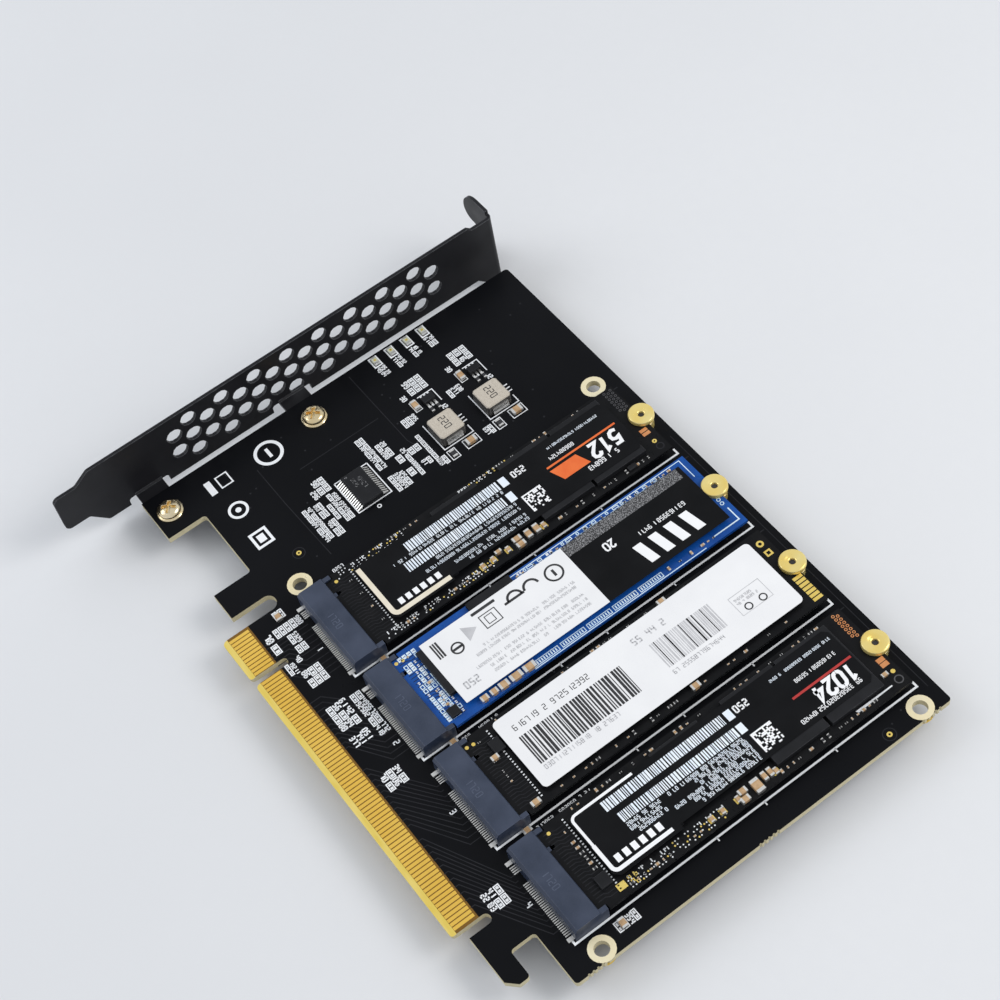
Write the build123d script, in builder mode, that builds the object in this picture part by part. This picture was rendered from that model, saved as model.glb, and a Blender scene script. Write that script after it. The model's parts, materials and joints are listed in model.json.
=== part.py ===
import os

from build123d import *

os.makedirs("parts", exist_ok=True)

# A PCI Express x16 card that carries four M.2 drives. All sizes are in millimetres.
# The origin is the middle of the key notch at the lower edge of the edge connector, on the
# component side. +X runs away from the bracket, +Y up the card, +Z out of the component side.

# Circuit board
board_thickness = 1.6
board_left = -55.6
board_right_margin = 6.8
board_top_margin = 4.3
foot_bottom = 4.9
foot_right = -43.4
key_tab_left = -24.0
key_tab_right = -16.5
cutout_top = 14.5
shoulder_top = 14.9
corner_radius = 0.8

# Edge connector
contact_pitch = 1.0
contact_width = 0.76
contact_bottom = 1.25
contact_top = 6.1
contact_thickness = 0.04
contacts_before_key = 11
contacts_after_key = 71
key_notch_width = 1.9
key_notch_top = 8.7
key_to_contact = 1.5
tongue_margin = 1.1
bevel_height = 1.2
bevel_depth = 0.45
tongue_left = -(key_to_contact + (contacts_before_key - 1) * contact_pitch + tongue_margin)
tongue_right = key_to_contact + (contacts_after_key - 1) * contact_pitch + tongue_margin

# Retention hook beyond the edge connector
hook_slot_width = 2.3
hook_slot_top = 8.4
hook_left = tongue_right + hook_slot_width
hook_bottom = 2.6
hook_top = 7.2
hook_length = 13.5
hook_chamfer = 2.1
hook_right = hook_left + hook_length
hook_gap_left = hook_left + 7.0
board_bottom = 13.0

# Break-off marks on the far edge, where the board was snapped out of its panel
bite_radius = 0.3
bite_pitch = 1.1
bites_per_group = 5
bite_margin = 5.25

# Mounting holes with plated rings
mounting_hole_radius = 1.6
mounting_ring_radius = 2.85
mounting_hole_left_gap = 4.6
mounting_hole_right_gap = 4.2
mounting_hole_rise = 8.0
mounting_hole_drop = 6.0
plating = 0.05
fit = 0.05

# Sides of the small rounds that repeat, which keep the facets few
ring_sides = 20
screw_sides = 16

# Drive bays
bay_count = 4
first_bay = 1.5
bay_gap = 3.3
drive_width = 22.0
drive_length = 80.0
drive_thickness = 0.8
drive_bottom = 2.4
drive_top = drive_bottom + drive_thickness
package_height = 1.2
ceramic_height = 0.9
label_thickness = 0.1
label_bottom = drive_top + package_height

# Drive sockets
socket_rear = 18.2
socket_front = 24.5
socket_height = 4.2
socket_wall = 1.05
socket_depth = 2.2
drive_insertion = 1.8
socket_jaw_step = 0.7
socket_ear_reach = 1.0
socket_key_offset = -6.1
socket_key_width = 1.0
drive_key_width = 1.2
drive_key_depth = 3.5
tail_pitch = 0.5
tail_width = 0.24
tail_length = 1.2
tail_thickness = 0.18
tail_count = 37

# Standoffs and drive screws
standoff_radius = 2.75
drive_screw_seat = 1.75
drive_screw_head = 2.95
drive_screw_head_height = 1.2
drive_screw_pilot = 1.6
screw_recess_width = 0.6
screw_recess_depth = 0.7

# Bracket
sheet = 0.86
bracket_face = -60.2
bracket_top = 108.3
bracket_length = 120.02
bracket_high = 14.3
bracket_low = -4.12
bracket_end = bracket_top - bracket_length
tongue_low = 0.5
tongue_high = 11.6
tongue_start = -5.8
taper_start = -2.0
top_tab_reach = 11.43
top_tab_ear = 3.17
ear_drop = 6.9
neck_step = 1.1
neck_drop = 5.9
screw_notch_radius = 2.21
screw_notch_z = 3.4
screw_notch_reach = 3.2
bend_inside = 0.4
end_radius = 1.5
taper_radius = 1.0
top_tab_radius = 5.5
notch_mouth_radius = 3.1

# Vents of the bracket: hexagons with cut corners
vent_radius = 2.2
vent_corner = 0.5
vent_pitch_y = 8.85
vent_pitch_z = 2.78
vent_long_row = 9
vent_centre_y = 54.4
vent_rise = 0.45
vent_rows = 5

# Board tabs of the bracket and their screws
board_tab_width = 7.0
board_tab_reach = 14.6
board_tab_radius = 1.8
relief_width = 1.8
relief_rise = 0.5
board_tab_places = [9.0, 48.0]
bracket_screw_x = -49.6
bracket_screw_head = 3.05
bracket_screw_head_height = 1.9
bracket_screw_shank = 1.45
bracket_screw_length = 4.0

# Power inductors
inductor_size = 6.5
inductor_height = 3.0
inductor_corner = 0.5
inductor_places = [(-26.2, 81.6), (-26.2, 68.9)]
terminal_width = 4.2
terminal_reach = 0.35

# Clock buffer
buffer_length = 9.4
buffer_width = 5.3
buffer_height = 1.6
buffer_centre = (-25.7, 45.4)
buffer_lead_pitch = 0.65
buffer_leads_per_side = 14
buffer_lead_span = 8.2

# Regulators
regulator_places = [(-36.1, 83.4), (-36.1, 70.6)]
regulator_width = 1.7
regulator_length = 2.9
regulator_height = 1.1

# Status lamps
lamp_x = -53.4
lamp_bottom = 67.6
lamp_pitch = 4.45
lamp_count = 4

bay_pitch = drive_width + bay_gap
bay_centres = [first_bay + bay_pitch * bay for bay in range(bay_count)]
drive_front = socket_front - drive_insertion
drive_screw_y = drive_front + drive_length
board_right = bay_centres[-1] + drive_width / 2 + board_right_margin
board_top = drive_screw_y + board_top_margin
mounting_holes = [
    (x, y)
    for x in (
        bay_centres[0] - drive_width / 2 - mounting_hole_left_gap,
        bay_centres[-1] + drive_width / 2 + mounting_hole_right_gap,
    )
    for y in (board_bottom + mounting_hole_rise, board_top - mounting_hole_drop)
]
standoff_places = [(centre, drive_screw_y) for centre in bay_centres]
bracket_screws_at = [(bracket_screw_x, level) for level in board_tab_places]


def write(builder, name):
    """Label a finished piece and write it."""
    builder.part.label = name
    export_step(builder.part, f"parts/{name}.step")


def corners_at(builder, *places):
    """The corners of a sketch that stand at the given places."""
    return builder.vertices().filter_by(
        lambda corner: any(abs(corner.X - x) < 0.01 and abs(corner.Y - y) < 0.01 for x, y in places)
    )


# Circuit board
key_side = key_notch_width / 2
board_corners = [
    (board_left, foot_bottom),
    (foot_right, foot_bottom),
    (foot_right, cutout_top),
    (key_tab_left, cutout_top),
    (key_tab_left, foot_bottom),
    (key_tab_right, foot_bottom),
    (key_tab_right, shoulder_top),
    (tongue_left, shoulder_top),
    (tongue_left, 0),
    (-key_side, 0),
    (-key_side, key_notch_top),
    (key_side, key_notch_top),
    (key_side, 0),
    (tongue_right, 0),
    (tongue_right, hook_slot_top),
    (hook_left, hook_slot_top),
    (hook_left, hook_bottom),
    (hook_right - hook_chamfer, hook_bottom),
    (hook_right, hook_bottom + hook_chamfer),
    (hook_right, hook_top),
    (hook_gap_left, hook_top),
    (hook_gap_left, board_bottom),
    (board_right, board_bottom),
    (board_right, board_top),
    (board_left, board_top),
]
with BuildPart() as circuit_board:
    with BuildSketch(Plane.XY.offset(-board_thickness)) as outline:
        with BuildLine():
            Polyline(*board_corners, close=True)
        make_face()
        fillet(corners_at(outline, (foot_right, cutout_top), (key_tab_left, cutout_top)), corner_radius)
        fillet(
            corners_at(outline, (key_tab_right, shoulder_top), (tongue_left, shoulder_top)),
            (tongue_left - key_tab_right) * 0.48,
        )
        fillet(corners_at(outline, (-key_side, key_notch_top), (key_side, key_notch_top)), key_side * 0.96)
        fillet(
            corners_at(outline, (tongue_right, hook_slot_top), (hook_left, hook_slot_top)),
            hook_slot_width * 0.48,
        )
        fillet(
            corners_at(outline, (tongue_left, 0), (-key_side, 0), (key_side, 0), (tongue_right, 0)),
            corner_radius,
        )
        fillet(
            corners_at(
                outline, (hook_right, hook_top), (hook_gap_left, hook_top), (hook_gap_left, board_bottom)
            ),
            corner_radius,
        )
        fillet(
            corners_at(
                outline, (board_right, board_bottom), (board_right, board_top), (board_left, board_top)
            ),
            corner_radius,
        )
        with Locations(*mounting_holes):
            Circle(mounting_hole_radius, mode=Mode.SUBTRACT)
        with Locations(*bracket_screws_at):
            RegularPolygon(bracket_screw_shank + fit, screw_sides, mode=Mode.SUBTRACT)
        for level in (board_bottom + bite_margin, (board_bottom + board_top) / 2, board_top - bite_margin):
            with Locations((board_right, level)):
                with GridLocations(bite_pitch, bite_pitch, 1, bites_per_group):
                    RegularPolygon(bite_radius, 6, mode=Mode.SUBTRACT)
    extrude(amount=board_thickness)
    # The two bevels that lead the edge connector into its slot
    for face_level, inward in ((0, -1), (-board_thickness, 1)):
        with BuildSketch(Plane.YZ.offset(tongue_left)):
            with BuildLine():
                Polyline(
                    (0, face_level + inward * bevel_depth),
                    (bevel_height, face_level),
                    (0, face_level),
                    close=True,
                )
            make_face()
        extrude(amount=tongue_right - tongue_left, mode=Mode.SUBTRACT)
write(circuit_board, "circuit_board")

# Edge contacts on both sides of the tongue
contact_middle = (contact_bottom + contact_top) / 2
contact_places = [
    (-key_to_contact - contact_pitch * pin, contact_middle) for pin in range(contacts_before_key)
] + [(key_to_contact + contact_pitch * pin, contact_middle) for pin in range(contacts_after_key)]
for side, base in (("component", 0), ("solder", -board_thickness - contact_thickness)):
    with BuildPart() as edge_contacts:
        with BuildSketch(Plane.XY.offset(base)):
            with Locations(*contact_places):
                Rectangle(contact_width, contact_top - contact_bottom)
        extrude(amount=contact_thickness)
    write(edge_contacts, f"edge_contacts_{side}_side")

# Plated rings round the mounting holes
with BuildPart() as mounting_eyelets:
    with BuildSketch():
        with Locations(*mounting_holes):
            RegularPolygon(mounting_ring_radius, ring_sides)
            RegularPolygon(mounting_hole_radius, ring_sides, major_radius=False, mode=Mode.SUBTRACT)
    extrude(amount=plating)
write(mounting_eyelets, "mounting_eyelets")

# Bracket: a folded sheet with a vented face, a screw tab on top and two tabs under the board
tab_underside = -board_thickness - sheet
tab_tip = bracket_face - top_tab_reach
tab_side = bracket_low - top_tab_ear
neck_high = bracket_high - neck_step
neck_end = bracket_face - sheet - 2 * bend_inside
notch_centre = tab_tip + screw_notch_reach
relief_top = tab_underside + relief_rise
relief_half = board_tab_width / 2 + relief_width
vent_centre_z = (bracket_low + bracket_high) / 2 + vent_rise
with BuildSketch() as vent:
    RegularPolygon(vent_radius, 6)
    chamfer(vent.vertices(), vent_corner)
with BuildPart() as bracket:
    with BuildSketch(Plane.YZ.offset(bracket_face - sheet)) as face_outline:
        with BuildLine():
            Polyline(
                (bracket_top, tab_side),
                (bracket_top, neck_high),
                (bracket_top - neck_drop, neck_high),
                (bracket_top - neck_drop - neck_step, bracket_high),
                (taper_start, bracket_high),
                (tongue_start, tongue_high),
                (bracket_end, tongue_high),
                (bracket_end, tongue_low),
                (tongue_start, tongue_low),
                (taper_start, bracket_low),
                (bracket_top - ear_drop, bracket_low),
                (bracket_top - ear_drop + top_tab_ear, tab_side),
                close=True,
            )
        make_face()
        fillet(corners_at(face_outline, (bracket_end, tongue_high), (bracket_end, tongue_low)), end_radius)
        fillet(
            corners_at(
                face_outline,
                (tongue_start, tongue_high),
                (tongue_start, tongue_low),
                (taper_start, bracket_low),
                (taper_start, bracket_high),
            ),
            taper_radius,
        )
        for row in range(vent_rows):
            in_row = vent_long_row if row % 2 else vent_long_row - 1
            with Locations((vent_centre_y, vent_centre_z + (row - (vent_rows - 1) / 2) * vent_pitch_z)):
                with GridLocations(vent_pitch_y, vent_pitch_z, in_row, 1):
                    add(vent.sketch, mode=Mode.SUBTRACT)
        # Under each board tab the sheet is cut away, with a rounded relief on either side of the tab
        for level in board_tab_places:
            with Locations((level, (bracket_low + relief_top) / 2)):
                Rectangle(2 * relief_half, relief_top - bracket_low, mode=Mode.SUBTRACT)
        relief_ends = [
            (level + side * relief_half, relief_top) for level in board_tab_places for side in (-1, 1)
        ]
        fillet(corners_at(face_outline, *relief_ends), relief_width * 0.45)
        for level in board_tab_places:
            with Locations((level, (tab_underside + relief_top) / 2)):
                Rectangle(board_tab_width, relief_rise)
    extrude(amount=sheet)
    with BuildSketch(Plane.XZ.offset(-bracket_top)) as top_tab:
        with BuildLine():
            Polyline(
                (bracket_face, tab_side),
                (bracket_face, neck_high),
                (neck_end, neck_high),
                (neck_end, bracket_high),
                (tab_tip, bracket_high),
                (tab_tip, tab_side),
                close=True,
            )
        make_face()
        fillet(corners_at(top_tab, (tab_tip, bracket_high)), top_tab_radius)
        fillet(corners_at(top_tab, (tab_tip, tab_side)), top_tab_ear * 0.5)
        with Locations((notch_centre, screw_notch_z)):
            Circle(screw_notch_radius, mode=Mode.SUBTRACT)
        with Locations(((notch_centre + tab_tip) / 2, screw_notch_z)):
            Rectangle(screw_notch_reach, 2 * screw_notch_radius, mode=Mode.SUBTRACT)
        mouth = [(tab_tip, screw_notch_z + side * screw_notch_radius) for side in (-1, 1)]
        fillet(corners_at(top_tab, *mouth), notch_mouth_radius)
    extrude(amount=sheet)
    with BuildSketch(Plane.XY.offset(tab_underside)) as board_tabs:
        for level in board_tab_places:
            with Locations((bracket_face - sheet + (board_tab_reach + sheet) / 2, level)):
                Rectangle(board_tab_reach + sheet, board_tab_width)
        tab_ends = [
            (bracket_face + board_tab_reach, level + side * board_tab_width / 2)
            for level in board_tab_places
            for side in (-1, 1)
        ]
        fillet(corners_at(board_tabs, *tab_ends), board_tab_radius)
        with Locations(*bracket_screws_at):
            RegularPolygon(bracket_screw_shank + fit, screw_sides, mode=Mode.SUBTRACT)
    extrude(amount=sheet)
    # Bend radii of the top tab and of the board tabs
    fillet(
        bracket.edges()
        .filter_by(Axis.Z)
        .filter_by(
            lambda edge: abs(edge.center().X - bracket_face) < 0.01
            and abs(edge.center().Y - bracket_top) < 0.01
        ),
        sheet + bend_inside,
    )
    fillet(
        bracket.edges()
        .filter_by(Axis.Z)
        .filter_by(
            lambda edge: abs(edge.center().X - bracket_face + sheet) < 0.01
            and abs(edge.center().Y - bracket_top + sheet) < 0.01
        ),
        bend_inside,
    )
    fillet(
        bracket.edges()
        .filter_by(Axis.Y)
        .filter_by(
            lambda edge: abs(edge.center().X - bracket_face + sheet) < 0.01
            and abs(edge.center().Z - tab_underside) < 0.01
        ),
        relief_rise * 0.9,
    )
    # The inside of each board tab's fold
    for level in board_tab_places:
        with BuildSketch(Plane.XZ.offset(-level - board_tab_width / 2)):
            with BuildLine():
                Polyline(
                    (bracket_face, -board_thickness),
                    (bracket_face + bend_inside, -board_thickness),
                    (bracket_face, bend_inside - board_thickness),
                    close=True,
                )
            make_face()
        extrude(amount=board_tab_width)
write(bracket, "bracket")

# Pan-head screws that hold the board to the bracket
with BuildPart() as bracket_screws:
    with BuildSketch():
        with Locations(*bracket_screws_at):
            RegularPolygon(bracket_screw_head, screw_sides)
    extrude(amount=bracket_screw_head_height)
    chamfer(bracket_screws.edges().group_by(Axis.Z)[-1], bracket_screw_head_height * 0.5)
    with BuildSketch(Plane.XY.offset(bracket_screw_head_height)):
        with Locations(*bracket_screws_at):
            Rectangle(bracket_screw_head, screw_recess_width)
            Rectangle(screw_recess_width, bracket_screw_head)
    extrude(amount=-screw_recess_depth, mode=Mode.SUBTRACT)
    with BuildSketch():
        with Locations(*bracket_screws_at):
            RegularPolygon(bracket_screw_shank, screw_sides)
    extrude(amount=-bracket_screw_length)
write(bracket_screws, "bracket_screws")

# Standoffs, and the screws that hold the drives down on them
with BuildPart() as drive_standoffs:
    with BuildSketch():
        with Locations(*standoff_places):
            RegularPolygon(standoff_radius, screw_sides)
    extrude(amount=drive_bottom)
write(drive_standoffs, "drive_standoffs")

with BuildPart() as drive_screws:
    with BuildSketch(Plane.XY.offset(drive_top)):
        with Locations(*standoff_places):
            RegularPolygon(drive_screw_head, screw_sides)
    extrude(amount=drive_screw_head_height)
    with BuildSketch(Plane.XY.offset(drive_top + drive_screw_head_height)):
        with Locations(*standoff_places):
            Rectangle(drive_screw_head, screw_recess_width)
            Rectangle(screw_recess_width, drive_screw_head)
    extrude(amount=-screw_recess_depth, mode=Mode.SUBTRACT)
    with BuildSketch(Plane.XY.offset(drive_top)):
        with Locations(*standoff_places):
            RegularPolygon(drive_screw_pilot, screw_sides)
    extrude(amount=-drive_thickness)
write(drive_screws, "drive_screws")


def socket_housing(centre, name):
    """An M.2 socket: a moulded bar with a slot for the drive's edge, two ears and a key rib."""
    jaw_front = socket_front + socket_jaw_step
    ear_front = jaw_front + socket_ear_reach
    inner_width = drive_width - 2 * socket_wall
    with BuildPart() as housing:
        with BuildSketch(Plane.YZ.offset(centre - drive_width / 2)) as side_view:
            with BuildLine():
                Polyline(
                    (socket_rear, 0),
                    (jaw_front, 0),
                    (jaw_front, drive_bottom),
                    (socket_front - socket_depth, drive_bottom),
                    (socket_front - socket_depth, drive_top + fit),
                    (socket_front, drive_top + fit),
                    (socket_front, socket_height),
                    (socket_rear, socket_height),
                    close=True,
                )
            make_face()
            chamfer(corners_at(side_view, (socket_rear, socket_height)), 0.6)
            chamfer(
                corners_at(side_view, (socket_front, drive_top + fit), (socket_front, socket_height)), 0.25
            )
        extrude(amount=drive_width)
        for side in (-1, 1):
            wall = centre + side * (inner_width + socket_wall) / 2
            with BuildSketch(Plane.XY):
                with Locations((wall, (socket_front - socket_depth + ear_front) / 2)):
                    Rectangle(socket_wall, ear_front - socket_front + socket_depth)
            extrude(amount=socket_height - 0.5)
        with BuildSketch(Plane.XY.offset(drive_bottom)):
            with Locations((centre + socket_key_offset, (socket_front - socket_depth + jaw_front) / 2)):
                Rectangle(socket_key_width, jaw_front - socket_front + socket_depth)
        extrude(amount=drive_thickness + fit)
    write(housing, name)


def socket_tails(centre, name):
    """The row of solder tails behind a socket, with the gap at its key, and two hold-downs."""
    first = centre - (tail_count - 1) / 2 * tail_pitch
    places = [first + tail_pitch * pin for pin in range(tail_count)]
    places = [place for place in places if abs(place - centre - socket_key_offset) > 1.1]
    with BuildPart() as tails:
        with BuildSketch():
            with Locations(*[(place, socket_rear - tail_length / 2) for place in places]):
                Rectangle(tail_width, tail_length)
        extrude(amount=tail_thickness)
        with BuildSketch():
            for side in (-1, 1):
                with Locations((centre + side * (drive_width / 2 - 1.0), socket_rear - 0.7)):
                    Rectangle(0.9, 1.4)
        extrude(amount=0.3)
    write(tails, name)


def drive_board(centre, name):
    """The board of one drive, with its narrowed edge, key notch and half-round screw seat."""
    neck_length = socket_jaw_step + socket_ear_reach + socket_depth
    with BuildPart() as board:
        with BuildSketch(Plane.XY.offset(drive_bottom)):
            with Locations((centre, drive_front + drive_length / 2)):
                Rectangle(drive_width, drive_length)
            for side in (-1, 1):
                with Locations((centre + side * (drive_width - socket_wall - fit) / 2, drive_front)):
                    Rectangle(socket_wall + fit, 2 * neck_length, mode=Mode.SUBTRACT)
            with Locations((centre + socket_key_offset, drive_front)):
                SlotOverall(2 * drive_key_depth, drive_key_width, rotation=90, mode=Mode.SUBTRACT)
            with Locations((centre, drive_screw_y)):
                Circle(drive_screw_seat, mode=Mode.SUBTRACT)
        extrude(amount=drive_thickness)
    write(board, name)


def blocks(name, base, height, footprints):
    """Rectangular pieces of one height: each footprint is x, y, size along X, size along Y."""
    with BuildPart() as group:
        with BuildSketch(Plane.XY.offset(base)):
            for x, y, size_x, size_y in footprints:
                with Locations((x, y)):
                    Rectangle(size_x, size_y)
        extrude(amount=height)
    write(group, name)


def ceramics(body_name, end_name, base, height, footprints):
    """Two-terminal chips: a ceramic body between two metal ends, along the longer side."""
    bodies = []
    ends = []
    for x, y, size_x, size_y in footprints:
        if size_x >= size_y:
            bodies.append((x, y, size_x * 0.56, size_y))
            ends += [(x + side * size_x * 0.39, y, size_x * 0.22, size_y) for side in (-1, 1)]
        else:
            bodies.append((x, y, size_x, size_y * 0.56))
            ends += [(x, y + side * size_y * 0.39, size_x, size_y * 0.22) for side in (-1, 1)]
    blocks(body_name, base, height, bodies)
    blocks(end_name, base, height, ends)


for bay, centre in enumerate(bay_centres, start=1):
    socket_housing(centre, f"socket_{bay}")
    socket_tails(centre, f"socket_{bay}_contacts")
    drive_board(centre, f"drive_{bay}_board")


def on_drive(bay, *shares):
    """Footprints on a drive, given as shares of its width from its centre line and of its length."""
    return [
        (
            bay_centres[bay - 1] + x * drive_width,
            drive_front + y * drive_length,
            size_x * drive_width,
            size_y * drive_length,
        )
        for x, y, size_x, size_y in shares
    ]


def drive_chips(bay, *shares):
    """Memory and controller packages of one drive."""
    blocks(f"drive_{bay}_chips", drive_top, package_height, on_drive(bay, *shares))


def drive_ceramics(bay, *shares):
    """Ceramic chips of one drive, outside its label."""
    ceramics(
        f"drive_{bay}_capacitors",
        f"drive_{bay}_capacitor_ends",
        drive_top,
        ceramic_height,
        on_drive(bay, *shares),
    )


memory_pair = [(-0.02, 0.85, 0.82, 0.166), (-0.02, 0.674, 0.82, 0.166)]
drive_chips(1, *memory_pair, (-0.1, 0.44, 0.64, 0.15), (-0.01, 0.23, 0.64, 0.175))
drive_chips(
    2,
    (0, 0.84, 0.64, 0.22),
    (0, 0.60, 0.64, 0.22),
    (-0.19, 0.34, 0.59, 0.14),
    (-0.07, 0.151, 0.57, 0.13),
)
drive_chips(3, (0, 0.82, 0.64, 0.22), (0, 0.58, 0.64, 0.22), (0, 0.38, 0.5, 0.11), (0, 0.2, 0.55, 0.15))
drive_chips(4, *memory_pair, (-0.1, 0.44, 0.64, 0.15), (-0.03, 0.23, 0.64, 0.175))


def label(bay, name, left, right, bottom, top, foot=0, step=0.3, corner=0.05, rounded=False):
    """A thin label on the packages, in shares of the drive; its foot is wider up to the step."""
    x_left = bay_centres[bay - 1] + left * drive_width
    x_right = bay_centres[bay - 1] + right * drive_width
    x_foot = x_right + foot * drive_width
    y_bottom = drive_front + bottom * drive_length
    y_top = drive_front + top * drive_length
    y_step = drive_front + step * drive_length
    if foot:
        side = [(x_foot, y_bottom), (x_foot, y_step), (x_right, y_step)]
    else:
        side = [(x_right, y_bottom)]
    with BuildPart() as film:
        with BuildSketch(Plane.XY.offset(label_bottom)) as shape:
            with BuildLine():
                Polyline((x_left, y_bottom), *side, (x_right, y_top), (x_left, y_top), close=True)
            make_face()
            cut = corners_at(shape, (x_left, y_top), (x_right, y_top), (x_foot, y_bottom))
            if rounded:
                fillet(cut + corners_at(shape, (x_left, y_bottom)), corner * drive_width)
            elif corner:
                chamfer(cut, corner * drive_width)
        extrude(amount=label_thickness)
    write(film, name)


label(1, "drive_1_label", left=-0.373, right=0.327, foot=0.05, bottom=0.104, step=0.296, top=0.939)
label(2, "drive_2_white_label", left=-0.393, right=0.393, bottom=0.104, top=0.564, corner=0)
label(2, "drive_2_black_label", left=-0.393, right=0.393, bottom=0.564, top=0.964, corner=0)
label(3, "drive_3_label", left=-0.432, right=0.405, bottom=0.114, top=0.946, rounded=True)
label(4, "drive_4_label", left=-0.391, right=0.291, foot=0.05, bottom=0.105, step=0.309, top=0.928)

drive_ceramics(
    1,
    (0.4, 0.558, 0.1, 0.016),
    (0.4, 0.531, 0.1, 0.016),
    (0.45, 0.497, 0.055, 0.027),
    (0.375, 0.497, 0.055, 0.027),
    (0.375, 0.435, 0.036, 0.02),
)
drive_ceramics(
    2,
    (0.445, 0.291, 0.073, 0.036),
    (0.445, 0.249, 0.073, 0.036),
    (0.445, 0.21, 0.073, 0.029),
    (0.445, 0.179, 0.06, 0.022),
    (0.445, 0.149, 0.06, 0.022),
)
drive_ceramics(
    3,
    (-0.465, 0.667, 0.045, 0.025),
    (0.445, 0.579, 0.06, 0.026),
    (-0.15, 0.07, 0.05, 0.022),
    (0.445, 0.076, 0.055, 0.027),
)
drive_ceramics(
    4,
    (0.39, 0.566, 0.09, 0.012),
    (0.39, 0.548, 0.09, 0.012),
    (0.42, 0.519, 0.14, 0.024),
    (0.38, 0.481, 0.055, 0.025),
    (0.455, 0.474, 0.055, 0.025),
)

# Power inductors with a metal terminal folded up on either end
with BuildPart() as inductor_bodies:
    with BuildSketch() as inductor_plan:
        with Locations(*inductor_places):
            Rectangle(inductor_size, inductor_size)
        chamfer(inductor_plan.vertices(), inductor_corner)
    extrude(amount=inductor_height)
    chamfer(inductor_bodies.faces().group_by(Axis.Z)[-1].edges(), inductor_corner / 2)
write(inductor_bodies, "inductor_bodies")
terminal_offset = (inductor_size + terminal_reach) / 2
blocks(
    "inductor_terminals",
    0,
    inductor_height * 0.6,
    [
        (x + side * terminal_offset, y, terminal_reach, terminal_width)
        for x, y in inductor_places
        for side in (-1, 1)
    ],
)

# Clock buffer and its gull-wing leads
with BuildPart() as clock_buffer:
    with BuildSketch(Plane.XY.offset(0.1)):
        with Locations(buffer_centre):
            Rectangle(buffer_length, buffer_width)
    extrude(amount=buffer_height)
    chamfer(clock_buffer.faces().sort_by(Axis.Z)[-1].edges(), 0.25)
write(clock_buffer, "clock_buffer")


def leads(name, centres, along, half_body, half_span, height, width, thickness):
    """Leads from the side of a body down to the board, on both sides of each centre."""
    with BuildPart() as group:
        for x, y in centres:
            for offset in along:
                with BuildSketch(Plane.YZ.offset(x + offset - width / 2)):
                    for side in (-1, 1):
                        with BuildLine():
                            Polyline(
                                (y + side * half_body, height),
                                (y + side * (half_body + thickness), height),
                                (y + side * half_span, thickness),
                                (y + side * half_span, 0),
                                (y + side * (half_body + 2 * thickness), 0),
                                (y + side * half_body, height - thickness),
                                close=True,
                            )
                        make_face()
                extrude(amount=width)
    write(group, name)


buffer_pins = range(buffer_leads_per_side)
lead_row = [(pin - (buffer_leads_per_side - 1) / 2) * buffer_lead_pitch for pin in buffer_pins]
leads("clock_buffer_leads", [buffer_centre], lead_row, buffer_width / 2, buffer_lead_span / 2, 0.9, 0.3, 0.15)

# Regulators beside the inductors
blocks(
    "regulators",
    0.1,
    regulator_height,
    [(x, y, regulator_width, regulator_length) for x, y in regulator_places],
)
blocks(
    "regulator_leads",
    0,
    0.2,
    [
        (x + side * (regulator_width + 0.7) / 2, y + row * 0.95, 0.7, 0.4)
        for x, y in regulator_places
        for side in (-1, 1)
        for row in (-1, 0, 1)
    ],
)

# Status lamps in a column beside the bracket
lamps = [(lamp_x, lamp_bottom + lamp_pitch * row) for row in range(lamp_count)]
ceramics("status_lamps", "status_lamp_ends", 0, 0.8, [(x, y, 2.2, 1.3) for x, y in lamps])

# Capacitors and resistors on the card, beside the inductors, the edge connector and the sockets
output_capacitors = [(x + 6.0, y + 2.4, 1.6, 2.6) for x, y in inductor_places]
input_capacitors = [(x - 0.5, y - 3.3, 2.6, 1.3) for x, y in regulator_places]
bay_capacitors = [
    (centre - drive_width / 2 - bay_gap * 0.67, socket_front, 1.2, 2.0) for centre in bay_centres[1:]
]
corner_capacitors = [
    (bay_centres[0] - drive_width * 0.52, socket_rear - 5.4, 2.0, 1.2),
    (board_right - 4.0, board_bottom + 14.2, 2.2, 1.3),
]
ceramics(
    "card_capacitors",
    "card_capacitor_ends",
    0,
    ceramic_height,
    output_capacitors + input_capacitors + bay_capacitors + corner_capacitors,
)
ceramics(
    "card_resistors",
    "card_resistor_ends",
    0,
    0.45,
    [(x + 6.2, y - 2.6, 2.0, 1.2) for x, y in inductor_places]
    + [(x + 2.8, y + shift, 1.6, 0.7) for x, y in regulator_places for shift in (-0.9, 0.9)],
)
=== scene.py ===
import json
import math
import random

import bpy
from mathutils import Matrix, Vector


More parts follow.
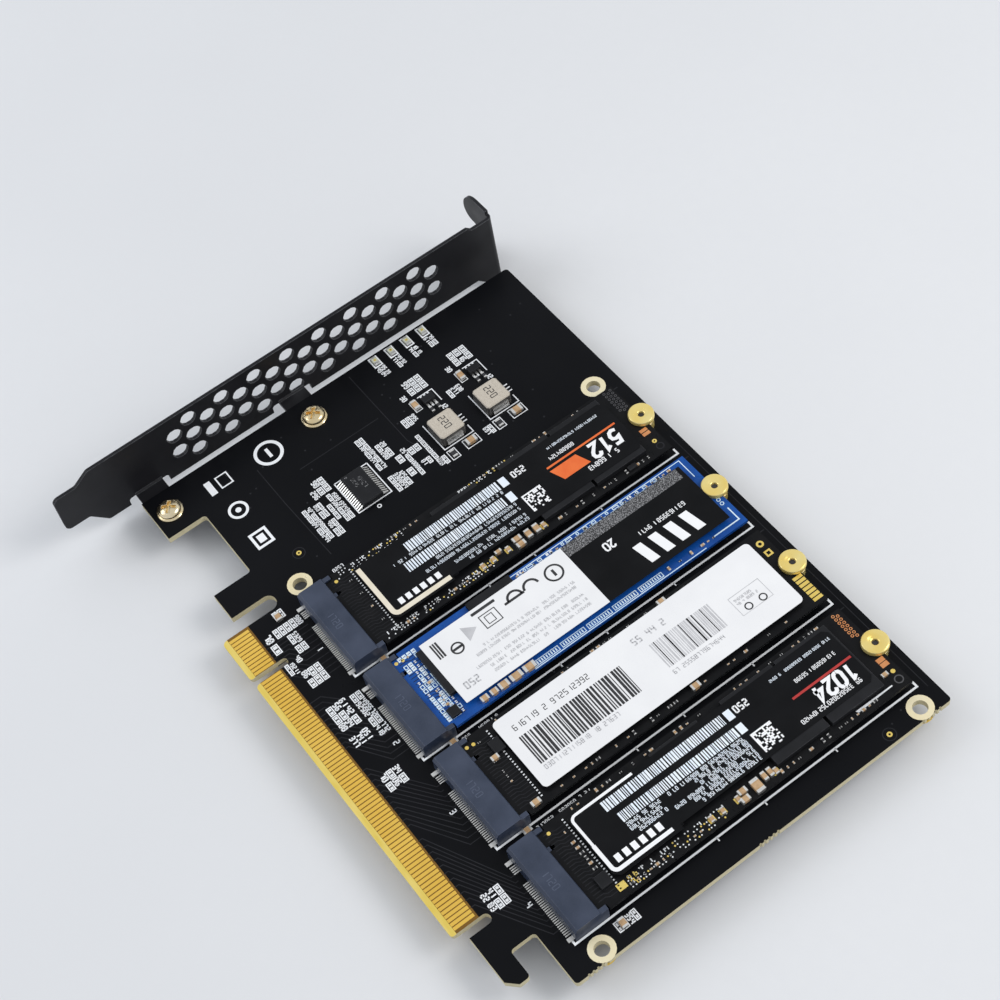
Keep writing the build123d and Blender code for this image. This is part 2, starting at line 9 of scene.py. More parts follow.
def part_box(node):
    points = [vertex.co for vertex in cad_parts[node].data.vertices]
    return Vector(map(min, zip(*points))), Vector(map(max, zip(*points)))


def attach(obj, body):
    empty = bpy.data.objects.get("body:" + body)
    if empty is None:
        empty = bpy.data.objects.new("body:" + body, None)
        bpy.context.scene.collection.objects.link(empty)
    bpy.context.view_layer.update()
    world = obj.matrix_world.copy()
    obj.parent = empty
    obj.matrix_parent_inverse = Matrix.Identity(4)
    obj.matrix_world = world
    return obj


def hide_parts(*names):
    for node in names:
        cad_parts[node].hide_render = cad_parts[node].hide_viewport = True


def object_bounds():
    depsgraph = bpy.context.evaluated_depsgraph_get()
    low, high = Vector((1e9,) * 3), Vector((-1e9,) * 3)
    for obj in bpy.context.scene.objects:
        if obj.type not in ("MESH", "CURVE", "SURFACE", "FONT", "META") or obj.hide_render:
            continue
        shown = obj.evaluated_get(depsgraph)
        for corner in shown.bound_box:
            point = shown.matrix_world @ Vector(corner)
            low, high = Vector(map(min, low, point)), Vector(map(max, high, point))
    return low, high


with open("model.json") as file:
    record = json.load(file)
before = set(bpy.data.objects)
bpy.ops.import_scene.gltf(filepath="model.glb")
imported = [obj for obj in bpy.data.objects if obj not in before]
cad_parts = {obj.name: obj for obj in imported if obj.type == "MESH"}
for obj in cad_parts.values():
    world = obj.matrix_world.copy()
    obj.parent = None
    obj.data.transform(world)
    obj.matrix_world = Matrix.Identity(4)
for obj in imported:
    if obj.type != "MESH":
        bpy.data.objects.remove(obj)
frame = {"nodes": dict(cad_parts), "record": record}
cad_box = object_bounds()
nodes = frame["nodes"]

# All sizes below are in millimetres, in the card's own frame, and MM turns them into metres.
MM = 0.001
INK = 0.02  # how far print stands above what it is printed on
TRACE = 0.008  # how far a masked trace stands above its board
UNDERSIDE = -1.6  # the lower face of the card's board, whose upper face is at 0
BAYS = (1, 2, 3, 4)
ACROSS, UP, DOWN = (1, 0), (0, 1), (0, -1)  # directions in which print reads
chance = random.Random(11)


# Camera, floor and light
def look_at_card():
    """The camera of the photograph, from its fitted place, direction and focal length."""
    lens = bpy.data.cameras.new("photo_camera")
    lens.sensor_width = 36.0
    lens.lens = 74.67
    lens.clip_start = 0.01
    camera = bpy.data.objects.new("photo_camera", lens)
    place = (0.23139, -0.04488, 0.37052)
    right = Vector((0.58439, 0.80125, -0.12838))
    down = Vector((0.62439, -0.54505, -0.55951))
    forward = Vector((-0.51828, 0.24682, -0.81882))
    turn = Matrix((right, -down, -forward)).transposed()
    camera.matrix_world = Matrix.Translation(place) @ turn.to_4x4()
    bpy.context.scene.collection.objects.link(camera)
    bpy.context.scene.camera = camera


def soft_lamp(name, place, aim, size, power, colour=(1, 1, 1)):
    """A square lamp that points at a place on the card."""
    data = bpy.data.lights.new(name, "AREA")
    data.shape = "SQUARE"
    data.size = size
    data.energy = power
    data.color = colour
    lamp = bpy.data.objects.new(name, data)
    lamp.location = Vector(place)
    lamp.rotation_euler = (Vector(aim) - Vector(place)).to_track_quat("-Z", "Y").to_euler()
    bpy.context.scene.collection.objects.link(lamp)


class Graph:
    """A material's nodes, added and linked by short calls."""

    def __init__(self, name):
        self.material = bpy.data.materials.new(name)
        self.material.use_nodes = True
        self.tree = self.material.node_tree
        self.shader = self.tree.nodes["Principled BSDF"]
        self.place = self.add("TexCoord").outputs["Object"]

    def add(self, kind, inputs=(), **settings):
        node = self.tree.nodes.new("ShaderNode" + kind)
        for key, value in settings.items():
            setattr(node, key, value)
        for key, value in dict(inputs).items():
            self.put(node.inputs[key], value)
        return node

    def put(self, socket, value):
        if isinstance(value, bpy.types.NodeSocket):
            self.tree.links.new(value, socket)
        else:
            socket.default_value = value

    def set(self, **values):
        for key, value in values.items():
            self.put(self.shader.inputs[key.replace("_", " ")], value)

    def noise(self, scale, detail=2.0, stretch=None):
        where = self.place
        if stretch:
            where = self.add("Mapping", {"Vector": where, "Scale": stretch}).outputs["Vector"]
        node = self.add("TexNoise", {"Vector": where, "Scale": scale, "Detail": detail})
        return node.outputs["Fac"]

    def math(self, operation, a, b=0.0):
        return self.add("Math", {0: a, 1: b}, operation=operation).outputs[0]

    def ramp(self, value, low, high, to_low=0.0, to_high=1.0):
        node = self.add(
            "MapRange",
            {"Value": value, "From Min": low, "From Max": high, "To Min": to_low, "To Max": to_high},
        )
        return node.outputs["Result"]

    def blend(self, share, a, b):
        """A colour share of the way from a to b."""
        node = self.add("Mix", {0: share, 6: colour_of(a), 7: colour_of(b)}, data_type="RGBA")
        return node.outputs[2]

    def bump(self, height, depth, under=None):
        inputs = {"Height": height, "Distance": depth, "Strength": 1.0}
        if under is not None:
            inputs["Normal"] = under
        return self.add("Bump", inputs).outputs["Normal"]

    def rounded(self, radius):
        return self.add("Bevel", {"Radius": radius}, samples=4).outputs["Normal"]

    def worn(self, radius, soft=0.12):
        """Where the surface turns an edge, for a painted highlight there: 0 on a flat and 1 on the edge.
        """
        true_normal = self.add("NewGeometry").outputs["Normal"]
        dot = self.add("VectorMath", {0: self.rounded(radius), 1: true_normal}, operation="DOT_PRODUCT")
        return self.ramp(dot.outputs["Value"], 1.0, 1.0 - soft)

    def axis(self, source, name):
        return self.add("SeparateXYZ", {"Vector": source}).outputs[name]


def colour_of(value):
    if isinstance(value, (tuple, list)) and len(value) == 3:
        return (*value, 1.0)
    return value


def finish(
    name,
    colour,
    second,
    roughness,
    spread=0.08,
    patch=70.0,
    grain=2500.0,
    depth=0.004,
    edge=None,
    edge_radius=0.12,
    stretch=None,
    **shader,
):
    """A finish that drifts between two colours, with its own grain and, if an edge colour is named, a
    painted highlight in patches along its edges.
    """
    look = Graph(name)
    drift = look.ramp(look.noise(patch, 4.0), 0.3, 0.7)
    fine = look.noise(grain, 3.0, stretch)
    mixed = look.blend(drift, colour, second)
    speck = look.ramp(fine, 0.35, 0.7, 0.0, 0.22)
    mixed = look.blend(speck, mixed, second)
    if edge is not None:
        # painted highlight: the paler edge colour is blended in along the edges, in patches, where light
        # would catch them
        on_edge = look.worn(edge_radius * MM)
        patchy = look.ramp(look.noise(900.0, 3.0), 0.35, 0.6, 0.3, 1.0)
        edge_highlight_share = look.math("MULTIPLY", on_edge, patchy)
        mixed = look.blend(edge_highlight_share, mixed, edge)
        normal = look.bump(fine, depth * MM, look.rounded(edge_radius * MM))
    else:
        normal = look.bump(fine, depth * MM)
    rough = look.ramp(look.noise(patch * 2.3, 4.0), 0.3, 0.7, roughness - spread, roughness + spread)
    look.set(Base_Color=mixed, Roughness=rough, Normal=normal)
    look.set(**shader)
    return look.material


def stage_floor():
    """A plain pale floor under the card."""
    size = 3.0
    gap = 0.0001
    level = cad_box[0][2] - gap
    mesh = bpy.data.meshes.new("floor")
    corners = [(-size, -size, level), (size, -size, level), (size, size, level), (-size, size, level)]
    mesh.from_pydata(corners, [], [(0, 1, 2, 3)])
    floor = bpy.data.objects.new("floor", mesh)
    paint = finish(
        "floor_paint",
        (0.80, 0.81, 0.83),
        (0.76, 0.77, 0.79),
        0.7,
        patch=6.0,
        grain=300.0,
        depth=0.02,
    )
    mesh.materials.append(paint)
    bpy.context.scene.collection.objects.link(floor)


look_at_card()
stage_floor()
world = bpy.data.worlds.new("studio")
world.use_nodes = True
world.node_tree.nodes["Background"].inputs["Color"].default_value = (0.93, 0.96, 1.0, 1.0)
world.node_tree.nodes["Background"].inputs["Strength"].default_value = 0.66
bpy.context.scene.world = world
card_middle = (0.02, 0.05, 0.0)
soft_lamp("key_lamp", (0.32, 0.48, 0.50), card_middle, 0.35, 1.9, (1.0, 0.98, 0.95))
soft_lamp("fill_lamp", (-0.42, -0.34, 0.45), card_middle, 0.45, 1.3, (0.95, 0.97, 1.0))
bpy.context.scene.view_settings.view_transform = "Standard"


# Finishes of the CAD nodes
def board_finish():
    """Black mask on the faces, bare laminate on the cut edges and round the edge contacts."""
    tongue_top, tongue_left, tongue_right = 6.55, -12.7, 72.7
    look = Graph("board_mask")
    up = look.math("ABSOLUTE", look.axis(look.add("NewGeometry").outputs["Normal"], "Z"))
    on_face = look.ramp(up, 0.5, 0.6)
    y = look.axis(look.place, "Y")
    x = look.axis(look.place, "X")
    weave = look.noise(5200.0, 3.0)
    drift = look.ramp(look.noise(35.0, 4.0), 0.3, 0.7)
    mask = look.blend(drift, (0.0035, 0.0038, 0.005), (0.006, 0.0064, 0.008))
    fibre = look.noise(900.0, 4.0, (1.0, 1.0, 14.0))
    laminate = look.blend(look.ramp(fibre, 0.3, 0.7), (0.50, 0.44, 0.27), (0.70, 0.64, 0.45))
    tongue = look.math("LESS_THAN", y, tongue_top * MM)
    tongue = look.math("MULTIPLY", tongue, look.math("GREATER_THAN", x, tongue_left * MM))
    tongue = look.math("MULTIPLY", tongue, look.math("LESS_THAN", x, tongue_right * MM))
    bare = look.blend(look.ramp(weave, 0.3, 0.7), (0.17, 0.085, 0.018), (0.24, 0.13, 0.03))
    brushed = look.ramp(look.noise(700.0, 4.0, (0.2, 1.0, 1.0)), 0.3, 0.7)
    bevel = look.blend(brushed, (0.78, 0.58, 0.10), (0.86, 0.68, 0.20))
    bare = look.blend(look.math("LESS_THAN", up, 0.97), bare, bevel)
    face = look.blend(tongue, mask, bare)
    base = look.blend(on_face, laminate, face)
    gloss = look.ramp(look.noise(90.0, 4.0), 0.3, 0.7, 0.26, 0.36)
    masked = look.math("MULTIPLY", on_face, look.math("SUBTRACT", 1.0, tongue))
    rough = look.ramp(masked, 0.0, 1.0, 0.62, 0.0)
    rough = look.math("MAXIMUM", rough, gloss)
    look.set(Base_Color=base, Roughness=rough, Specular_IOR_Level=0.09)
    look.set(Normal=look.bump(weave, 0.003 * MM))
    return look.material


def powder_finish():
    """Pressed metal powder with a fine grain: painted light makes the top beige, painted shade makes the
    sides dark, and a painted highlight pales the edges.
    """
    look = Graph("pressed_powder")
    up = look.axis(look.add("NewGeometry").outputs["Normal"], "Z")
    grain = look.noise(4200.0, 5.0)
    # painted light and shade: beige for faces turned up, dark for the sides, picked by the surface's
    # normal below
    top = look.blend(look.ramp(grain, 0.35, 0.65), (0.54, 0.48, 0.40), (0.66, 0.60, 0.51))
    side = look.blend(look.ramp(grain, 0.35, 0.65), (0.035, 0.033, 0.032), (0.10, 0.095, 0.09))
    base = look.blend(look.ramp(up, 0.3, 0.75), side, top)
    # painted highlight: paler beige along the edges
    base = look.blend(look.math("MULTIPLY", look.worn(0.15 * MM), 0.5), base, (0.72, 0.68, 0.60))
    look.set(Base_Color=base, Roughness=look.ramp(look.noise(700.0), 0.3, 0.7, 0.42, 0.6))
    look.set(Normal=look.bump(grain, 0.03 * MM, look.rounded(0.12 * MM)), Metallic=0.2)
    return look.material


finishes = {
    "gold_contact": finish(
        "contact_gold",
        (0.88, 0.53, 0.07),
        (0.97, 0.64, 0.12),
        0.34,
        grain=900.0,
        stretch=(6.0, 1.0, 1.0),
        Metallic=0.6,
    ),
    "eyelet_plating": finish("eyelet_gold", (0.94, 0.80, 0.48), (0.99, 0.92, 0.68), 0.3, Metallic=0.35),
    "bracket_paint": finish(
        "bracket_powder",
        (0.010, 0.010, 0.012),
        (0.018, 0.018, 0.021),
        0.42,
        grain=4200.0,
        depth=0.010,
        # painted highlight: paler grey along the bracket's edges
        edge=(0.16, 0.165, 0.18),
        edge_radius=0.2,
        Specular_IOR_Level=0.2,
    ),
    "screw_metal": finish(
        "screw_nickel_warm_reflection",
        # nickel heads tinted gold: the warm tone is a painted reflection of warm light
        (0.86, 0.66, 0.34),
        (0.95, 0.83, 0.58),
        0.2,
        patch=260.0,
        # painted highlight: bright pale gold along the rims
        edge=(1.0, 0.90, 0.66),
        Metallic=1.0,
    ),
    "brass": finish(
        "turned_brass",
        (0.96, 0.69, 0.16),
        (0.99, 0.83, 0.34),
        0.2,
        patch=200.0,
        # painted highlight: pale gold along the heads' edges
        edge=(1.0, 0.93, 0.66),
        edge_radius=0.2,
        Metallic=0.55,
    ),
    "tinned_metal": finish(
        "tin", (0.78, 0.77, 0.74), (0.88, 0.87, 0.84), 0.34, patch=600.0, Metallic=0.9
    ),
    "package_plastic": finish(
        "moulded_epoxy",
        (0.010, 0.0105, 0.012),
        (0.018, 0.0185, 0.021),
        0.52,
        patch=200.0,
        grain=6500.0,
        depth=0.008,
        # painted highlight: grey along the packages' edges
        edge=(0.09, 0.09, 0.10),
        Specular_IOR_Level=0.16,
    ),
    "lamp_lens": finish(
        "lamp_lens",
        (0.86, 0.90, 0.66),
        (0.94, 0.96, 0.80),
        0.18,
        patch=900.0,
        Transmission_Weight=0.25,
    ),
    "capacitor_ceramic": finish(
        "fired_ceramic",
        (0.42, 0.25, 0.12),
        (0.60, 0.40, 0.22),
        0.42,
        patch=900.0,
        # painted highlight: pale tan along the capacitors' edges
        edge=(0.74, 0.58, 0.40),
    ),
    "resistor_ceramic": finish(
        "resistor_glaze", (0.02, 0.02, 0.022), (0.035, 0.035, 0.04), 0.35, patch=300.0
    ),
    "socket_plastic": finish(
        "socket_nylon",
        (0.016, 0.026, 0.052),
        (0.044, 0.058, 0.098),
        0.4,
        patch=140.0,
        grain=3500.0,
        depth=0.012,
        # painted highlight: pale blue-grey along the sockets' edges
        edge=(0.12, 0.14, 0.20),
    ),
    "drive_mask": finish(
        "drive_mask",
        (0.0045, 0.005, 0.006),
        (0.009, 0.009, 0.010),
        0.32,
        patch=300.0,
        Specular_IOR_Level=0.12,
    ),
    "blue_mask": finish(
        "blue_mask",
        (0.004, 0.055, 0.270),
        (0.008, 0.085, 0.370),
        0.30,
        patch=260.0,
        Specular_IOR_Level=0.25,
    ),
    "black_label": finish(
        "black_film",
        (0.004, 0.0042, 0.005),
        (0.0075, 0.0078, 0.009),
        0.36,
        patch=120.0,
        grain=1800.0,
        depth=0.006,
        Specular_IOR_Level=0.11,
    ),
    "white_label": finish(
        "white_film",
        (0.86, 0.86, 0.875),
        (0.91, 0.91, 0.92),
        0.46,
        patch=120.0,
        grain=2200.0,
        depth=0.006,
    ),
    "solder_mask": board_finish(),
    "inductor_body": powder_finish(),
}
for subpart in frame["record"]["subparts"]:
    mesh = nodes[subpart["node"]].data
    look = finishes[subpart["material_slot"]]
    if not mesh.materials:
        mesh.materials.append(look)
    for index in range(len(mesh.materials)):
        mesh.materials[index] = look


# Flat print, pads and traces
SEGMENTS = {
    "0": "abcdef",
    "1": "bc",
    "2": "abged",
    "3": "abgcd",
    "4": "fgbc",
    "5": "afgcd",
    "6": "afgedc",
    "7": "abc",
    "8": "abcdefg",
    "9": "abcdfg",
}
SEGMENT_ENDS = {
    "a": ((0, 2), (1, 2)),
    "b": ((1, 1), (1, 2)),
    "c": ((1, 0), (1, 1)),
    "d": ((0, 0), (1, 0)),
    "e": ((0, 0), (0, 1)),
    "f": ((0, 1), (0, 2)),
    "g": ((0, 1), (1, 1)),
}
# Strokes of the bold numerals, in halves of their height
BOLD = {
    "0": [(0.5, 0.0), (0.16, 0.12), (0.0, 0.45), (0.0, 1.55), (0.16, 1.88), (0.5, 2.0)],
    "1": [(0.12, 1.6), (0.58, 2.0), (0.58, 0.0)],
    "2": [
        *((0.0, 1.5), (0.15, 1.87), (0.5, 2.0), (0.88, 1.82)),
        *((0.98, 1.42), (0.85, 1.1), (0.02, 0.02), (1.04, 0.02)),
    ],
    "4": [(0.76, 0.0), (0.76, 2.0), (0.0, 0.6), (1.08, 0.6)],
    "5": [
        *((0.92, 1.98), (0.14, 1.98), (0.06, 1.12), (0.5, 1.26), (0.88, 1.1)),
        *((1.0, 0.66), (0.86, 0.2), (0.5, 0.0), (0.0, 0.16)),
    ],
}
ADVANCE = 0.82  # from one numeral to the next, as a share of the height


class Sheet:
    """Flat shapes of one finish, gathered into one mesh. Shapes are drawn from a movable origin."""

    def __init__(self, name, slot, look, rise=INK):
        self.name, self.slot, self.look, self.rise = name, slot, look, rise
        self.points, self.faces = [], []
        self.at(0, 0, 0)

    def at(self, x, y, level, side=1):
        """Moves the origin; side is -1 for print that faces down."""
        self.x, self.y, self.level, self.side = x, y, level + side * self.rise, side
        return self

    def polygon(self, corners):
        first = len(self.points)
        corners = list(corners)[:: self.side]
        self.points += [((self.x + x) * MM, (self.y + y) * MM, self.level * MM) for x, y in corners]
        self.faces.append(tuple(range(first, first + len(corners))))

    def bar(self, x0, y0, x1, y1):
        self.polygon([(x0, y0), (x1, y0), (x1, y1), (x0, y1)])

    def box(self, x0, y0, x1, y1, width):
        """A rectangle's outline."""
        self.bar(x0, y0, x1, y0 + width)
        self.bar(x0, y1 - width, x1, y1)
        self.bar(x0, y0 + width, x0 + width, y1 - width)
        self.bar(x1 - width, y0 + width, x1, y1 - width)

    def line(self, points, width):
        """A line through points, with mitred corners."""
        sides = []
        for index, (x, y) in enumerate(points):
            before = Vector(points[max(index - 1, 0)])
            after = Vector(points[min(index + 1, len(points) - 1)])
            here = Vector((x, y))
            a = (here - before).normalized() if index else (after - here).normalized()
            b = (after - here).normalized() if index < len(points) - 1 else a
            across = Vector((-(a + b).y, (a + b).x)).normalized()
            reach = width / 2 / max(0.5, across.dot(Vector((-a.y, a.x))))
            sides.append((here + across * reach, here - across * reach))
        for (l0, r0), (l1, r1) in zip(sides, sides[1:]):
            self.polygon([tuple(r0), tuple(r1), tuple(l1), tuple(l0)])

    def ring(self, x, y, outer, inner, sides=24, start=0.0, end=1.0):
        """A ring or an arc of one, from start to end as shares of a turn."""
        steps = max(3, round(sides * (end - start)))
        angles = [2 * math.pi * (start + (end - start) * step / steps) for step in range(steps + 1)]
        for a, b in zip(angles, angles[1:]):
            corners = [(outer, a), (outer, b)] + ([(inner, b), (inner, a)] if inner else [(0, a)])
            self.polygon([(x + r * math.cos(t), y + r * math.sin(t)) for r, t in corners])

    def dot(self, x, y, radius, sides=10):
        angles = [2 * math.pi * step / sides for step in range(sides)]
        self.polygon([(x + radius * math.cos(t), y + radius * math.sin(t)) for t in angles])

    def numeral(self, text, x, y, height, along, weight):
        """Plain numerals made of bars, read along a direction, from a lower left corner."""
        ux, uy = along
        half = height / 2
        step = height * ADVANCE
        stroke = height * weight
        for place, letter in enumerate(text):
            for name in SEGMENTS.get(letter, ""):
                (a, b), (c, d) = SEGMENT_ENDS[name]
                ends = []
                for p, q in ((a, b), (c, d)):
                    s = place * step + p * half * 0.95
                    t = q * half
                    ends.append((x + s * ux - t * uy, y + s * uy + t * ux))
                self.line(ends, stroke)

    def bold(self, text, x, y, height, stroke, slant=0.0):
        """Thick rounded numerals that read down the card, from their top left corner."""
        half = height / 2
        step = height * 0.72
        for place, letter in enumerate(text):
            first = place * step
            strokes = [BOLD[letter]]
            if letter == "0":
                strokes.append([(1.0 - p, q) for p, q in BOLD[letter]])
            for path in strokes:
                ends = [(x + q * half, y - first - p * half - slant * q * half) for p, q in path]
                self.line(ends, stroke)

    def small_text(self, x0, y0, x1, y1, height, along, gap=0.55, fill=0.85, weight=0.2):
        """Rows of small plain numerals that fill a rectangle and read UP or DOWN the card."""
        blank_share = 0.14
        rows = max(1, int((x1 - x0 + height * gap) / (height * (1 + gap))))
        pitch = (x1 - x0) / rows
        for row in range(rows):
            room = (y1 - y0) * (fill if row % 3 else 1.0) * chance.uniform(0.72, 1.0)
            letters = []
            for _ in range(int(room / (height * ADVANCE))):
                shown = chance.random() > blank_share
                letters.append(chance.choice("0123456789") if shown else " ")
            start = (x1 - row * pitch, y0) if along == UP else (x0 + row * pitch, y1)
            self.numeral("".join(letters), *start, height, along, weight)

    def stripes(self, x0, y0, x1, y1, thin=0.14, thick=0.5, share=0.55):
        """Cross bars of mixed width along Y."""
        widest_gap = thick * 0.6
        y = y0
        while y < y1 - thick:
            width = chance.uniform(thin, thick)
            self.bar(x0, y, x1, y + width * share * 2)
            y += width * share * 2 + chance.uniform(thin, widest_gap)

    def put(self):
        mesh = bpy.data.meshes.new(self.name)
        mesh.from_pydata(self.points, [], self.faces)
        mesh.materials.append(self.look)
        piece = bpy.data.objects.new(self.name, mesh)
        bpy.context.scene.collection.objects.link(piece)
        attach(piece, "root")
        return piece


def ink(name, colour, second, roughness=0.5, **shader):
    return finish(name, colour, second, roughness, patch=400.0, grain=3000.0, depth=0.003, **shader)


silk_ink = ink("board_ink", (0.92, 0.95, 0.98), (0.97, 0.98, 1.0))
masked_copper = ink(
    "masked_copper", (0.016, 0.017, 0.020), (0.026, 0.026, 0.030), 0.3, Specular_IOR_Level=0.12
)
pad_tin = ink("pad_tin", (0.84, 0.87, 0.90), (0.96, 0.97, 0.98), 0.4, Metallic=0.35)
pad_gold = ink("pad_gold", (0.90, 0.64, 0.13), (0.98, 0.76, 0.22), 0.32, Metallic=0.6)
pad_copper = ink("pad_copper", (0.70, 0.26, 0.09), (0.80, 0.36, 0.15), 0.35, Metallic=0.5)
pale_ink = ink("pale_ink", (0.80, 0.89, 1.0), (0.90, 0.95, 1.0))
dark_ink = ink("dark_ink", (0.014, 0.014, 0.016), (0.035, 0.035, 0.038))
grey_ink = ink("grey_ink", (0.50, 0.50, 0.52), (0.64, 0.64, 0.66))
orange_ink = ink("orange_ink", (0.80, 0.13, 0.02), (0.88, 0.18, 0.035))
red_ink = ink("red_ink", (0.42, 0.02, 0.02), (0.52, 0.035, 0.03))
cream_ink = ink("cream_ink", (0.80, 0.72, 0.56), (0.87, 0.80, 0.66))
light_ink = ink("light_ink", (0.92, 0.93, 0.95), (0.97, 0.97, 0.98))
sky_ink = ink("sky_ink", (0.58, 0.80, 0.98), (0.80, 0.93, 1.0))
faint_ring = ink("faint_ring", (0.05, 0.05, 0.055), (0.09, 0.09, 0.095))
moulded_mark = ink("moulded_mark", (0.055, 0.070, 0.115), (0.085, 0.105, 0.16))


def grain_look():
    """A black film with a fine pale speckle, as of printed grit."""
    look = Graph("grit_film")
    speck = look.ramp(look.noise(3800.0, 6.0), 0.46, 0.62)
    base = look.blend(speck, (0.014, 0.014, 0.016), (0.32, 0.32, 0.33))
    look.set(Base_Color=base, Roughness=look.ramp(look.noise(700.0), 0.3, 0.7, 0.35, 0.5))
    look.set(Normal=look.bump(look.noise(3000.0), 0.004 * MM))
    return look.material


silk = Sheet("board_print", "white_label", silk_ink)
traces = Sheet("board_traces", "solder_mask", masked_copper, TRACE)
pads = Sheet("board_pads", "tinned_metal", pad_tin)
gold_pads = Sheet("gold_pads", "gold_contact", pad_gold)
copper_pads = Sheet("copper_pads", "gold_contact", pad_copper)
pale_print = Sheet("label_pale_print", "white_label", pale_ink)
dark_print = Sheet("label_dark_print", "black_label", dark_ink)
grey_print = Sheet("label_grey_print", "white_label", grey_ink)
grain_print = Sheet("label_grain_print", "black_label", grain_look())
orange_print = Sheet("label_orange_print", "capacitor_ceramic", orange_ink)
red_print = Sheet("label_red_print", "capacitor_ceramic", red_ink)
cream_print = Sheet("label_cream_print", "white_label", cream_ink)
light_print = Sheet("label_white_print", "white_label", light_ink)
sky_print = Sheet("blue_board_print", "white_label", sky_ink)
ring_print = Sheet("drive_ring_print", "resistor_ceramic", faint_ring)
mark_print = Sheet("socket_marks", "socket_plastic", moulded_mark)


def cluster(x0, y0, x1, y1, wide=2.35, high=1.4):
    """A block of small part places: outlined pad pairs, with numbers in between."""
    number_share, number_height, number_weight = 0.4, 0.76, 0.27
    filled_x, filled_y = 0.92, 0.86
    outline, inner, pad_share = 0.25, 0.36, 0.41
    silk.at(0, 0, 0)
    pads.at(0, 0, 0)
    columns = max(1, round((x1 - x0) / wide))
    rows = max(1, round((y1 - y0) / high))
    cell_x, cell_y = (x1 - x0) / columns, (y1 - y0) / rows
    for column in range(columns):
        for row in range(rows):
            left, low = x0 + column * cell_x, y0 + row * cell_y
            if chance.random() < number_share:
                size = cell_y * number_height
                letters = max(2, round(cell_x * filled_x / (size * ADVANCE)))
                number = "".join(chance.choice("1234567890") for _ in range(letters))
                silk.numeral(number, left + 0.12, low + 0.12, size, ACROSS, number_weight)
                continue
            right, top = left + cell_x * filled_x, low + cell_y * filled_y
            silk.box(left, low, right, top, outline)
            pad = (right - left - 2 * inner) * pad_share
            pads.bar(left + inner, low + inner, left + inner + pad, top - inner)
            pads.bar(right - inner - pad, low + inner, right - inner, top - inner)


def drive_corner(bay):
    """The corner of a drive's board from which its pads and parts are placed."""
    low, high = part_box(f"drive_{bay}_board")
    return low[0] / MM, low[1] / MM, high[2] / MM


def drive_end(bay):
    """The middle of a drive's far end, where its screw stands."""
    low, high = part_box(f"drive_{bay}_board")
    return (low[0] + high[0]) / 2 / MM, high[1] / MM


# Print on the card
def bay_marks():
    """Long white lines between the drives, with hooked ends and short ticks."""
    silk.at(0, 0, 0)
    traces.at(0, 0, 0)
    for bay in BAYS:
        low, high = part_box(f"drive_{bay}_board")
        x, foot, end = high[0] / MM + 0.3, 17.6, high[1] / MM + 1.0
        silk.line([(x - 1.2, foot), (x, foot), (x, end), (x - 1.6, end)], 0.46)
        for y in (52.0, 64.0, 82.0):
            silk.bar(x, y, x + 0.9, y + 0.3)
        left = low[0] / MM - 0.9
        traces.line([(left, 27.0), (left, 105.0)], 0.25)


def bus_traces():
    """Runs of traces under the mask, from the sockets to the edge contacts, on both faces."""
    runs, top_pitch, foot_y, width = 11, 1.45, 6.4, 0.2
    targets = {1: (-6.0, 1.0), 2: (12.0, 1.35), 3: (32.0, 1.6), 4: (52.0, 1.8)}
    for bay, (first, pitch) in targets.items():
        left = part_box(f"socket_{bay}_contacts")[0][0] / MM + 3.0
        for run in range(runs):
            top_x = left + run * top_pitch
            foot_x = first + run * pitch
            knee = 12.6 - run * 0.35 if foot_x < top_x else 9.0 + run * 0.35
            shift = abs(top_x - foot_x) * 0.45
            bend_high, bend_low = min(16.2, knee + shift), max(7.4, knee - shift)
            path = [(top_x, 16.9), (top_x, bend_high), (foot_x, bend_low), (foot_x, foot_y)]
            traces.at(0, 0, 0).line(path, width)
            path = [(top_x, 27.4), (top_x, bend_high + 6.0), (foot_x, bend_low + 1.0), (foot_x, foot_y)]
            traces.at(0, 0, UNDERSIDE, -1).line(path, width)
            traces.dot(top_x, 27.6, 0.3, 10)


def edge_side_print():
    """Groups of part places between the sockets and the edge contacts, and the bays' numbers."""
    for area in (
        (-11.8, 12.0, -9.2, 14.6),
        (-8.0, 9.8, -5.3, 16.6),
        (-4.9, 11.6, -2.0, 14.0),
        (-1.6, 11.5, 0.7, 14.2),
        (-7.8, 7.4, -2.0, 9.3),
        (0.9, 7.2, 4.3, 9.4),
        (0.6, 10.0, 2.8, 11.4),
        (4.6, 9.1, 9.6, 13.7),
        (15.9, 13.9, 27.8, 16.6),
        (15.3, 8.3, 22.6, 13.1),
        (24.1, 8.3, 26.7, 12.9),
        (35.2, 8.3, 39.9, 13.1),
        (69.2, 9.1, 74.1, 13.7),
        (89.9, 25.6, 92.6, 31.0),
    ):
        cluster(*area)
    for number, x in (("1", 2.2), ("2", 31.2), ("3", 51.3), ("4", 76.8)):
        silk.numeral(number, x - 0.4, 14.9, 1.3, ACROSS, 0.2)
    for strip in ((39.0, 26.4, 39.9, 38.6), (64.4, 26.4, 65.3, 41.6), (-13.5, 28.4, -11.6, 32.0)):
        silk.small_text(*strip, 0.85, UP, fill=1.0, weight=0.24)


